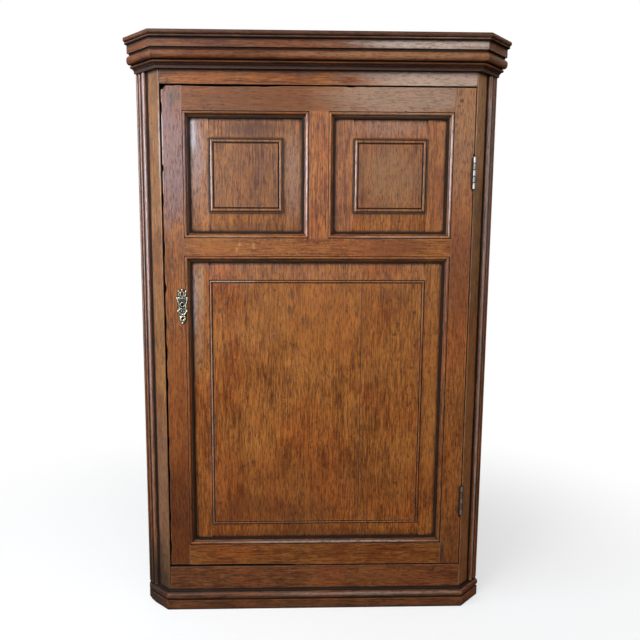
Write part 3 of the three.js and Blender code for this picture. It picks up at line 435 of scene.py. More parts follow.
@dataclass(frozen=True)
class Oak:
    """Oak with its rings, pores, soiling, rubbed edges and polish, and painted shade in its creases and
    corners.

    Attributes:
        pale: Its lighter wood.
        deep: Its darker wood.
        grime_and_shade: The dark colour of its creases, partly soiling and partly painted shade.
        dust_and_shade: The softer dark colour of its corners, partly soiling and partly painted shade.
        rubbed: Its edges, where hands have worn them.
        ruddy: The tint of its redder places.
        shade_band: Depths behind the door's face between which the recess round a field is blackened, as
            painted shade.
        contrast: How strong the streaks are.
        mottle: How strong its cloudy stains are.
        rays: How strong its pale ray flecks are.
        flecks: How strong its dark flecks are.
        ring_rate: How close its rings are, in radians per metre.
        swirl: How far its rings wander.
        grime_and_shade_share: How much of the soiling and painted shade shows.
        rubbed_share: How much of the wear shows.
        roughness: The mean roughness.
        shine: The specular level.
    """

    pale: Colour
    deep: Colour
    grime_and_shade: Colour = rgb(0.015, 0.0065, 0.003)
    dust_and_shade: Colour = rgb(0.055, 0.026, 0.014)
    rubbed: Colour = rgb(0.42, 0.24, 0.14)
    ruddy: Colour = rgb(0.96, 0.76, 0.64)
    shade_band: tuple[float, float] | None = None
    contrast: float = 1.0
    mottle: float = 0.5
    rays: float = 0.1
    flecks: float = 0.8
    ring_rate: float = 1500.0
    swirl: float = 40.0
    grime_and_shade_share: float = 0.95
    rubbed_share: float = 0.5
    roughness: float = 0.33
    shine: float = 0.5

    def material(
        self, name: str, grain: Grain, patches: tuple[Patch, ...] = (), tone: float = 1.0
    ) -> bpy.types.Material:
        """Make the finish of one piece, with a board of its own.

        Args:
            name: The piece's name, which also picks its place in the tree.
            grain: Which way its grain runs.
            patches: Stains, worn places, painted sheens, painted highlights and painted shade on it.
            tone: How pale this board is beside the others.

        Returns:
            The material.
        """
        made = bpy.data.materials.new(name + "_oak")
        graph = Graph(made)
        board = Board(graph, name, grain, self.ring_rate, self.swirl)
        dirt_and_shade = self.dirt_and_shade(graph, board, patches)
        # Softer dark towards enclosed corners: soiling, and painted shade
        shade = graph.step(board.openness + (board.clouds - 0.5) * 0.3, 0.92, 0.36, self.grime_and_shade_share * 0.7)
        dusty_and_shaded = graph.blend(self.wood(graph, board, patches, tone), self.dust_and_shade, shade)
        gloss = (board.fibres - 0.5) * 0.16 + (board.clouds - 0.5) * 0.2 + dirt_and_shade * 0.3 + board.flecks * 0.1
        relief = (board.fibres - 0.5) * 0.5 + (board.streaks - 0.5) * 0.5 - board.pores * 0.8
        relief = relief - board.flecks * 0.25 - board.marks * 0.3 + 0.5
        waxed = {
            "Base Color": graph.blend(dusty_and_shaded, self.grime_and_shade, dirt_and_shade),
            "Roughness": gloss + self.roughness,
            "Specular IOR Level": self.shine,
            "Normal": graph.bump(relief, 0.55, 0.0004, graph.bump(board.waves, 1.0, 0.0022)),
        }
        # A matt black shader over creases and black patches: soiling, and painted shade
        packed_grime_and_shade = graph.blend(self.grime_and_shade, self.dust_and_shade, graph.step(board.streaks, 0.48, 0.7, 0.3))
        matt_grime_and_shade = {"Base Color": packed_grime_and_shade, "Roughness": 0.95, "Specular IOR Level": 0.1}
        graph.surface(graph.mixed(graph.principled(waxed), graph.principled(matt_grime_and_shade), dirt_and_shade * 0.75))
        return made

    def wood(self, graph: Graph, board: Board, patches: tuple[Patch, ...], tone: float) -> Socket:
        """The wood's colour with its figure, stains, painted sheens and highlights, and rubbed edges, before
        the black of creases.

        Args:
            graph: The material's tree.
            board: The board's patterns.
            patches: Stains, worn places, painted sheens, painted highlights and painted shade on it.
            tone: How pale it is beside the others.

        Returns:
            The colour.
        """
        contrast = self.contrast
        figure = (board.rings - 0.5) * (0.16 * contrast) + (board.streaks - 0.5) * (2.5 * contrast)
        figure = figure + (board.bands - 0.5) * (0.8 * contrast) + (board.fibres - 0.5) * (0.9 * contrast)
        figure = figure + (board.clouds - 0.5) * (2.0 * self.mottle) + board.rays * self.rays + 0.5
        colour = graph.blend(toned(self.deep, tone), toned(self.pale, tone), graph.step(figure, -0.15, 1.15))
        colour = graph.blend(colour, self.ruddy, graph.step(board.blush, 0.42, 0.66, 0.9), "MULTIPLY")
        for patch in patches:
            if patch.colour:
                colour = graph.blend(colour, patch.colour, patch.share(graph, board.places, board.ragged))
        colour = graph.blend(colour, rgb(0.38, 0.28, 0.22), board.flecks * self.flecks, "MULTIPLY")
        colour = graph.blend(colour, rgb(0.3, 0.26, 0.24), board.pores * 0.7, "MULTIPLY")
        colour = graph.blend(colour, rgb(0.3, 0.25, 0.24), board.marks * (self.mottle * 1.2), "MULTIPLY")
        worn = board.bends * board.free * board.openness * (0.45 + board.ragged)
        return graph.blend(colour, self.rubbed, graph.step(worn, 0.25, 0.8, self.rubbed_share))

    def dirt_and_shade(self, graph: Graph, board: Board, patches: tuple[Patch, ...]) -> Value:
        """How much black lies on the wood, as soiling and painted shade: in creases, inner corners, black
        patches and the shade band.

        Args:
            graph: The material's tree.
            board: The board's patterns.
            patches: Stains on it, of which those without a colour are black, as soiling and painted shade.

        Returns:
            The share of black.
        """
        # Black in creases and inner corners: soiling, and painted shade
        dirt_and_shade = graph.step(board.creases + (board.ragged - 0.5) * 0.22, 0.9, 0.5, self.grime_and_shade_share)
        dirt_and_shade = dirt_and_shade.larger(graph.step(board.bends * (1.0 - board.free), 0.04, 0.4, self.grime_and_shade_share))
        for patch in patches:
            if not patch.colour:
                dirt_and_shade = dirt_and_shade.larger(patch.share(graph, board.places, board.ragged))
        # Painted shade: the recess round a raised field, blackened between two depths
        if self.shade_band:
            shallow, far = self.shade_band
            depth = graph.part(board.places, Y) - FACE_Y
            begun = graph.step(depth, shallow, shallow + 0.0006)
            dirt_and_shade = dirt_and_shade.larger(begun * graph.step(depth, far + 0.0004, far, 0.7))
        return dirt_and_shade


@dataclass(frozen=True)
class Metal:
    """Old brass or iron, brighter where it is rubbed, and dark in its hollows with soiling and painted shade.

    Attributes:
        bright: The colour where it is rubbed.
        dull: The colour of its tarnish.
        grime_and_shade: The dark colour of its hollows, partly soiling and partly painted shade.
        roughness: The mean roughness.
        tarnish: How much of it is dull.
        ground_y: Y of a plate's face, above which only its relief is rubbed bright.
    """

    bright: Colour
    dull: Colour
    grime_and_shade: Colour = rgb(0.02, 0.015, 0.01)
    roughness: float = 0.35
    tarnish: float = 0.5
    ground_y: float | None = None

    def material(self, name: str) -> bpy.types.Material:
        """Make the finish.

        Args:
            name: What it is called.

        Returns:
            The material.
        """
        made = bpy.data.materials.new(name)
        graph = Graph(made)
        places = graph.place()
        clouds = graph.noise(places, (260.0, 260.0, 260.0), 4.0, 0.6)
        specks = graph.noise(places, (1500.0, 1500.0, 1500.0), 2.0, 0.6)
        openness = graph.hollows(0.003)
        tarnish = clouds + (specks - 0.5) * 0.4 - graph.bends(0.0009) * 0.45
        dull = graph.step(tarnish, 0.72 - self.tarnish * 0.5, 0.9 - self.tarnish * 0.4)
        if self.ground_y is not None:
            rise = self.ground_y - graph.part(places, Y)
            dull = (dull * 0.45).larger(graph.step(rise + (clouds - 0.5) * 0.0004, 0.0006, 0.0001, 0.95))
        # Dark in the hollows: soiling, and painted shade
        dirt_and_shade = graph.step(openness + (clouds - 0.5) * 0.3, 0.8, 0.2, 0.9)
        colour = graph.blend(graph.blend(self.bright, self.dull, dull), self.grime_and_shade, dirt_and_shade)
        metal = {
            "Base Color": colour,
            "Metallic": 1.0 - dirt_and_shade * 0.7 - dull * 0.3,
            "Roughness": dull * 0.25 + dirt_and_shade * 0.3 + (specks - 0.5) * 0.2 + self.roughness,
            "Specular IOR Level": 0.3,
            "Normal": graph.bump(clouds * 0.6 + specks * 0.4, 0.5, 0.0002),
        }
        graph.surface(graph.principled(metal))
        return made


class Finishes:
    """The finishes that the cupboard's pieces share."""

    frame = Oak(pale=rgb(0.43, 0.148, 0.028), deep=rgb(0.13, 0.033, 0.006), rubbed_share=0.4, shine=0.4)
    panel = Oak(
        pale=rgb(0.465, 0.165, 0.03), deep=rgb(0.125, 0.033, 0.006), rubbed=rgb(0.46, 0.3, 0.2), mottle=0.6,
        rubbed_share=0.4, roughness=0.3, shine=0.42,
    )
    # Upper panels, with painted shade in the recess round their fields
    upper_panel = replace(panel, shade_band=(0.00485, 0.0068))
    rail = replace(frame, shine=0.34, flecks=0.55)
    figured_rail = replace(rail, rays=0.9)
    carcase = Oak(pale=rgb(0.38, 0.165, 0.046), deep=rgb(0.14, 0.048, 0.011), shine=0.36, rubbed_share=0.3)
    foot = Oak(
        pale=rgb(0.24, 0.078, 0.02), deep=rgb(0.08, 0.023, 0.006), mottle=0.7, ring_rate=420.0, swirl=46.0,
        contrast=1.3, shine=0.4, roughness=0.42,
    )
    sooty_foot = replace(foot, roughness=0.7, shine=0.15)
    moulding = Oak(
        pale=rgb(0.24, 0.084, 0.024), deep=rgb(0.085, 0.024, 0.007), roughness=0.3, rubbed_share=0.6,
    )
    cornice = Oak(
        pale=rgb(0.25, 0.078, 0.016), deep=rgb(0.085, 0.022, 0.005), rubbed=rgb(0.26, 0.14, 0.08),
        roughness=0.36, shine=0.3,
    )
    frieze = Oak(
        pale=rgb(0.44, 0.148, 0.024), deep=rgb(0.145, 0.036, 0.006), flecks=0.55, contrast=1.15, shine=0.28,
    )
    inside = Oak(
        pale=rgb(0.4, 0.24, 0.12), deep=rgb(0.2, 0.1, 0.045), rubbed=rgb(0.45, 0.3, 0.18), mottle=0.7,
        grime_and_shade_share=0.6, roughness=0.68, shine=0.25,
    )
    back = Oak(
        pale=rgb(0.3, 0.19, 0.11), deep=rgb(0.12, 0.068, 0.036), rubbed=rgb(0.34, 0.24, 0.16), mottle=1.0,
        grime_and_shade_share=0.7, roughness=0.8, shine=0.2,
    )
    plate_brass = Metal(
        bright=rgb(0.66, 0.59, 0.45), dull=rgb(0.028, 0.032, 0.02), roughness=0.27, tarnish=0.62,
        ground_y=PLATE_Y,
    )
    # The upper hinge has paler brass than the lower one: less tarnish, and a painted reflection of the light
    # it catches
    bright_hinge = Metal(
        bright=rgb(0.45, 0.42, 0.385), dull=rgb(0.04, 0.03, 0.024), roughness=0.4, tarnish=0.12,
        ground_y=KNUCKLE_Y,
    )
    dull_hinge = Metal(
        bright=rgb(0.3, 0.225, 0.155), dull=rgb(0.06, 0.042, 0.028), roughness=0.5, tarnish=0.5,
        ground_y=KNUCKLE_Y,
    )
    iron = Metal(bright=rgb(0.3, 0.28, 0.26), dull=rgb(0.06, 0.045, 0.035), roughness=0.5, tarnish=0.7)


def select_only(piece: bpy.types.Object) -> None:
    """Select one object and make it the active one."""
    bpy.ops.object.select_all(action="DESELECT")
    piece.select_set(True)
    bpy.context.view_layer.objects.active = piece


def edit_all(piece: bpy.types.Object) -> None:
    """Open an object for editing with its whole mesh selected."""
    select_only(piece)
    bpy.ops.object.mode_set(mode="EDIT")
    bpy.ops.mesh.select_all(action="SELECT")


def end_edit() -> None:
    """Close the object that is being edited."""
    bpy.ops.object.mode_set(mode="OBJECT")


def named(piece: bpy.types.Object, name: str) -> bpy.types.Object:
    """Name an object and its mesh."""
    piece.name = name
    piece.data.name = name
    return piece


def settle(piece: bpy.types.Object, name: str) -> bpy.types.Object:
    """Name a new object and put its place into its mesh."""
    select_only(piece)
    bpy.ops.object.transform_apply(location=True, rotation=True, scale=True)
    return named(piece, name)


def primitive(
    name: str, add: Callable[..., set[str]], scale: Triple = (1.0, 1.0, 1.0), **settings: object
) -> bpy.types.Object:
    """Add a primitive with nothing else selected.

    Args:
        name: What it is called.
        add: The operator that adds it.
        scale: How it is stretched along its own axes.
        **settings: What the operator is told.

    Returns:
        The object, with its place in its mesh.
    """
    bpy.ops.object.select_all(action="DESELECT")
    add(**settings)
    made = bpy.context.active_object
    made.scale = scale
    return settle(made, name)


def drop(piece: bpy.types.Object) -> None:
    """Delete an object that was only a tool or a model for others."""
    bpy.data.objects.remove(piece, do_unlink=True)


def smooth(piece: bpy.types.Object, sharp: float) -> None:
    """Shade a piece smoothly but for the edges that are sharper than so many degrees."""
    select_only(piece)
    bpy.ops.object.shade_smooth_by_angle(angle=math.radians(sharp))


def modify(piece: bpy.types.Object, kind: str, **settings: object) -> None:
    """Add a modifier and apply it.

    Args:
        piece: The object.
        kind: The modifier's type.
        **settings: Its properties.
    """
    select_only(piece)
    modifier = piece.modifiers.new(kind.lower(), kind)
    for name, setting in settings.items():
        setattr(modifier, name, setting)
    bpy.ops.object.modifier_apply(modifier=modifier.name)


def chamfer(piece: bpy.types.Object, width: float, segments: int, sharp: float) -> None:
    """Bevel a piece's edges.

    Args:
        piece: The object.
        width: How wide the bevel is.
        segments: Faces across it.
        sharp: Degrees above which an edge is beveled.
    """
    angle = math.radians(sharp)
    modify(piece, "BEVEL", width=width, segments=segments, limit_method="ANGLE", angle_limit=angle)


def soften(piece: bpy.types.Object, width: float, sharp: float = 38.0) -> None:
    """Round a piece's edges a little and shade what is curved smoothly.

    Args:
        piece: The object.
        width: How wide the rounding is.
        sharp: Degrees above which an edge is rounded.
    """
    chamfer(piece, width, 2, sharp)
    smooth(piece, sharp)
    modify(piece, "WEIGHTED_NORMAL", keep_sharp=True, weight=50)


def copy_of(node: str, name: str) -> bpy.types.Object:
    """Copy a CAD node as a clean mesh, its corners merged and its flat faces made whole.

    Args:
        node: The node's name.
        name: The name of the copy.

    Returns:
        The copy.
    """
    piece = frame["nodes"][node].copy()
    piece.data = frame["nodes"][node].data.copy()
    for key in list(piece.keys()):
        del piece[key]
    piece.parent = None
    piece.matrix_world = Matrix.Identity(4)
    piece.data.materials.clear()
    bpy.context.scene.collection.objects.link(piece)
    edit_all(named(piece, name))
    bpy.ops.mesh.remove_doubles(threshold=MERGE_DISTANCE)
    bpy.ops.mesh.dissolve_limited(angle_limit=math.radians(FLAT_DEGREES))
    end_edit()
    bpy.ops.mesh.customdata_custom_splitnormals_clear()
    return piece


def hand_over(
    piece: bpy.types.Object,
    material: bpy.types.Material,
    body: str,
    replaced: tuple[str, ...] = (),
) -> None:
    """Give a piece its finish and its body.

    Args:
        piece: The object.
        material: Its finish.
        body: The CAD body that it moves with.
        replaced: The CAD nodes that it stands for.
    """
    piece.data.materials.clear()
    piece.data.materials.append(material)
    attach(piece, body)
    if replaced:
        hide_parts(*replaced)
    LOG.info("%s on %s, %d faces", piece.name, body, len(piece.data.polygons))


def joined(pieces: list[bpy.types.Object], name: str) -> bpy.types.Object:
    """Join objects into the first of them.

    Args:
        pieces: The objects.
        name: The name of the whole.

    Returns:
        The joined object.
    """
    bpy.ops.object.select_all(action="DESELECT")
    for piece in pieces:
        piece.select_set(True)
    bpy.context.view_layer.objects.active = pieces[0]
    bpy.ops.object.join()
    return named(pieces[0], name)


def carve(piece: bpy.types.Object, tool: bpy.types.Object) -> None:
    """Cut one object out of another and remove it."""
    modify(piece, "BOOLEAN", operation="DIFFERENCE", object=tool, solver="EXACT")
    drop(tool)


def ragged_stone(centre: Triple, size: Triple, seed: int) -> bpy.types.Object:
    """A rough lump, used to break chips out of an edge.

    Args:
        centre: Its middle.
        size: Its half sizes.
        seed: Which of many lumps.

    Returns:
        The lump.
    """
    add = bpy.ops.mesh.primitive_ico_sphere_add
    lump = primitive("ragged_stone", add, size, subdivisions=2, radius=1.0, location=centre)
    edit_all(lump)
    bpy.ops.transform.vertex_random(offset=min(size) * RAGGEDNESS, seed=seed)
    end_edit()
    return lump


def front_patch(x: float, z: float, wide: float, high: float, colour: Colour, strength: float) -> Patch:
    """A stained, dented or worn place, or a painted sheen, on the front.

    Args:
        x: Its middle, across.
        z: Its middle, in height.
        wide: How far it goes both ways across.
        high: How far it goes up and down.
        colour: Its colour.
        strength: How much of it shows in its middle.

    Returns:
        The patch.
    """
    return Patch((x, FACE_Y, z), (wide, 0.05, high), colour, strength)


def crease_dirt_and_shade(side: float) -> Patch:
    """The black between a cant and its reeded moulding: soiling, and painted shade on the moulding's side.

    Args:
        side: 1 on the right and -1 on the left.

    Returns:
        A patch that runs up the whole crease.
    """
    return Patch((side * 0.3275, FACE_Y + 0.0245, 0.55), (0.0043, 0.0043, 9.0), None, 0.95)


def hollow_dirt_and_shade(node: str, end: int, axis: int) -> Patch:
    """The black in the hollow and on the fillet along one edge of a frame member: soiling, and painted shade.

    Args:
        node: The member's CAD node.
        end: Which of its two long edges, LOW or HIGH.
        axis: The axis across that edge, X or Z.

    Returns:
        A patch that runs along the whole edge.
    """
    inset, back, narrow, deep, long = 0.0012, 0.006, 0.0032, 0.007, 9.0
    middle = round(edge(node, end, axis) + (inset if end == LOW else -inset), 6)
    if axis == X:
        return Patch((middle, FACE_Y + back, 0.0), (narrow, deep, long), None, 0.9)
    return Patch((0.0, FACE_Y + back, middle), (long, deep, narrow), None, 0.9)


def painted_bead_light(
    x: float,
    z: float,
    along: float,
    strength: float,
    depth: float = 0.0,
    level: bool = False,
    tint: Colour = PAINTED_HIGHLIGHT,
) -> Patch:
    """A painted highlight along one flank of a bead, or painted shade where its tint is dark.

    Args:
        x: The middle of its painted stretch, across.
        z: The same, in height.
        along: How far that stretch goes both ways.
        strength: How much of its tint shows.
        depth: How far it lies behind the door's face.
        level: Whether the bead runs level.
        tint: The colour of the painted highlight or shade.

    Returns:
        The patch.
    """
    thin, deep = 0.0019, 0.0022 if depth else 0.006
    reach = (along, deep, thin) if level else (thin, deep, along)
    return Patch((x, FACE_Y + depth, z), reach, tint, strength)


@dataclass
class Joinery:
    """A group of wooden pieces that are refined copies of their CAD nodes.

    Attributes:
        body: The CAD body that they ride on.
        slot: Their material slot; not used.
        oak: Their finish.
        rounding: How far their edges are rounded.
    """

    body: str
    slot: str
    oak: Oak
    rounding: float = 0.0006

    def refine(
        self,
        node: str,
        grain: Grain,
        patches: tuple[Patch, ...] = (),
        tone: float = 1.0,
        oak: Oak | None = None,
    ) -> None:
        """Build one piece from its node and dress it.

        Args:
            node: The CAD node.
            grain: Which way its grain runs.
            patches: Stains and worn places on it.
            tone: How pale its board is beside the others.
            oak: Its finish, where that isn't the group's.
        """
        piece = copy_of(node, node + "_oak")
        self.shape(node, piece)
        soften(piece, self.rounding)
        material = (oak or self.oak).material(node, grain, patches, tone)
        hand_over(piece, material, self.body, (node,))

    def shape(self, node: str, piece: bpy.types.Object) -> None:
        """Work on a piece before its edges are rounded; plain pieces need nothing."""


@dataclass
class DoorFrame(Joinery):
    """Stiles, rails and muntin of the door, with their worn edges and the peg.

    Attributes:
        chipped: The members that have chips.
        chips: X, height and half sizes of those chips.
        reach: How far outside a member's box the middle of a chip in it may be.
    """

    body: str = "door"
    slot: str = "oak_frame"
    oak: Oak = Finishes.frame
    chipped: tuple[str, ...] = ("lock_stile", "hinge_stile", "door_top_rail", "door_bottom_rail")
    chips: tuple[tuple[float, float, Triple], ...] = (
        (-0.2985, 1.048, (0.009, 0.014, 0.009)),
        (-0.2990, 1.006, (0.0026, 0.007, 0.013)),
        (-0.2990, 0.895, (0.0032, 0.007, 0.008)),
        (-0.2992, 0.835, (0.0024, 0.006, 0.016)),
        (-0.2992, 0.742, (0.0026, 0.007, 0.02)),
        (-0.2990, 0.668, (0.0034, 0.008, 0.012)),
        (-0.2990, 0.6, (0.0022, 0.006, 0.02)),
        (-0.2990, 0.54, (0.003, 0.007, 0.022)),
        (-0.2990, 0.477, (0.0036, 0.008, 0.015)),
        (-0.2992, 0.36, (0.0028, 0.006, 0.018)),
        (-0.2990, 0.29, (0.003, 0.007, 0.022)),
        (-0.2990, 0.2, (0.0026, 0.006, 0.016)),
        (-0.2990, 0.135, (0.0024, 0.006, 0.018)),
        (-0.283, 1.0482, (0.02, 0.006, 0.0022)),
        (-0.19, 1.0484, (0.14, 0.006, 0.0033)),
        (-0.1, 1.0478, (0.02, 0.007, 0.0024)),
        (0.06, 1.0478, (0.012, 0.006, 0.002)),
        (0.1647, 1.0025, (0.003, 0.0016, 0.0011)),
        (-0.2996, 0.33, (0.0024, 0.006, 0.26)),
        (-0.28, 0.0936, (0.05, 0.006, 0.0022)),
        (-0.17, 0.0934, (0.14, 0.006, 0.002)),
        (0.299, 0.9234, (0.0022, 0.006, 0.0028)),
        (0.299, 0.858, (0.0018, 0.006, 0.0026)),
        (0.299, 0.1966, (0.0032, 0.006, 0.0045)),
    )
    reach: float = 0.002

    def shape(self, node: str, piece: bpy.types.Object) -> None:
        """Break the chips out of the outer edges of the stiles and rails.

        Args:
            node: The member's CAD node.
            piece: Its copy.
        """
        low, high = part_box(node)
        for seed, (x, z, size) in enumerate(self.chips):
            across = low.x - self.reach < x < high.x + self.reach
            if node in self.chipped and across and low.z - self.reach < z < high.z + self.reach:
                carve(piece, ragged_stone((x, FACE_Y, z), size, seed))

    def build(self) -> None:
        """Build and dress the frame's members and the peg."""
        # Black hollows along the panels are soiling and painted shade; pale lines on beads and edges are
        # painted highlights
        lock_side = (
            # Painted sheen over a greyish bloom, high on the lock stile
            front_patch(-0.281, 0.925, 0.05, 0.16, rgb(0.235, 0.155, 0.17), 0.58),
            # Painted highlight along the stile's left edge
            painted_bead_light(-0.2975, 0.94, 0.13, 0.6),
            front_patch(-0.274, 1.026, 0.016, 0.02, rgb(0.1, 0.075, 0.04), 0.5),
            front_patch(-0.28, 0.42, 0.05, 0.2, rgb(0.26, 0.066, 0.012), 0.5),
            front_patch(-0.28, 0.15, 0.06, 0.2, rgb(0.1, 0.022, 0.006), 0.75),
            hollow_dirt_and_shade("lock_stile", HIGH, X),
        )
        hinge_side = (
            front_patch(0.28, 0.97, 0.06, 0.16, rgb(0.34, 0.17, 0.075), 0.5),
            front_patch(0.28, 0.7, 0.06, 0.14, rgb(0.18, 0.048, 0.012), 0.65),
            front_patch(0.28, 0.12, 0.04, 0.12, rgb(0.1, 0.03, 0.01), 0.5),
            front_patch(0.263, 0.11, 0.007, 0.03, rgb(0.045, 0.028, 0.02), 0.6),
            front_patch(0.2672, 1.036, 0.0022, 0.007, rgb(0.07, 0.04, 0.022), 0.7),
            front_patch(0.2668, 1.0142, 0.0025, 0.0028, rgb(0.06, 0.035, 0.02), 0.8),
            hollow_dirt_and_shade("hinge_stile", LOW, X),
            # Painted highlight on the bead along the stile's inner edge
            painted_bead_light(0.2555, 0.9, 0.16, 0.8),
        )
        top = (
            # Painted sheen over a greyish bloom, on the right of the top rail
            front_patch(0.16, 1.03, 0.2, 0.05, rgb(0.36, 0.24, 0.165), 0.68),
            front_patch(-0.12, 1.02, 0.2, 0.05, rgb(0.17, 0.055, 0.012), 0.65),
            hollow_dirt_and_shade("door_top_rail", LOW, Z),
        )
        middle = (
            front_patch(-0.2, 0.75, 0.06, 0.03, rgb(0.37, 0.125, 0.02), 0.6),
            front_patch(0.14, 0.745, 0.07, 0.03, rgb(0.16, 0.035, 0.008), 0.55),
            front_patch(-0.158, 0.742, 0.0035, 0.007, rgb(0.5, 0.24, 0.06), 0.7),
            front_patch(-0.153, 0.752, 0.0035, 0.007, rgb(0.5, 0.24, 0.06), 0.7),
            front_patch(-0.126, 0.749, 0.004, 0.008, rgb(0.5, 0.25, 0.07), 0.6),
            hollow_dirt_and_shade("door_mid_rail", HIGH, Z),
            hollow_dirt_and_shade("door_mid_rail", LOW, Z),
            # Painted highlights on the bead along the rail's top edge
            painted_bead_light(0.15, 0.767, 0.13, 0.5, 0.0, True, DIM_PAINTED_HIGHLIGHT),
            painted_bead_light(-0.17, 0.767, 0.12, 0.35, 0.0, True, DIM_PAINTED_HIGHLIGHT),
        )
        bottom = (
            hollow_dirt_and_shade("door_bottom_rail", HIGH, Z),
            # Painted highlight along the bottom rail's bead
            Patch((0.03, FACE_Y, 0.1422), (0.3, 0.006, 0.003), rgb(0.36, 0.3, 0.235), 0.58),
        )
        muntin = (
            hollow_dirt_and_shade("muntin", LOW, X),
            hollow_dirt_and_shade("muntin", HIGH, X),
            # Painted highlight on the bead down the muntin's left edge
            painted_bead_light(-0.0232, 0.885, 0.17, 0.85),
        )
        self.refine("lock_stile", Grain.UPRIGHT, lock_side, 0.95)
        self.refine("hinge_stile", Grain.UPRIGHT, hinge_side, 0.95)
        self.refine("door_top_rail", Grain.ACROSS, top, 0.8, Finishes.rail)
        self.refine("door_mid_rail", Grain.ACROSS, middle, 0.92, Finishes.figured_rail)
        self.refine("door_bottom_rail", Grain.ACROSS, bottom, 0.72)
        self.refine("muntin", Grain.UPRIGHT, muntin, 1.15)
        self.refine("top_rail_peg", Grain.INWARD, (), 0.55)


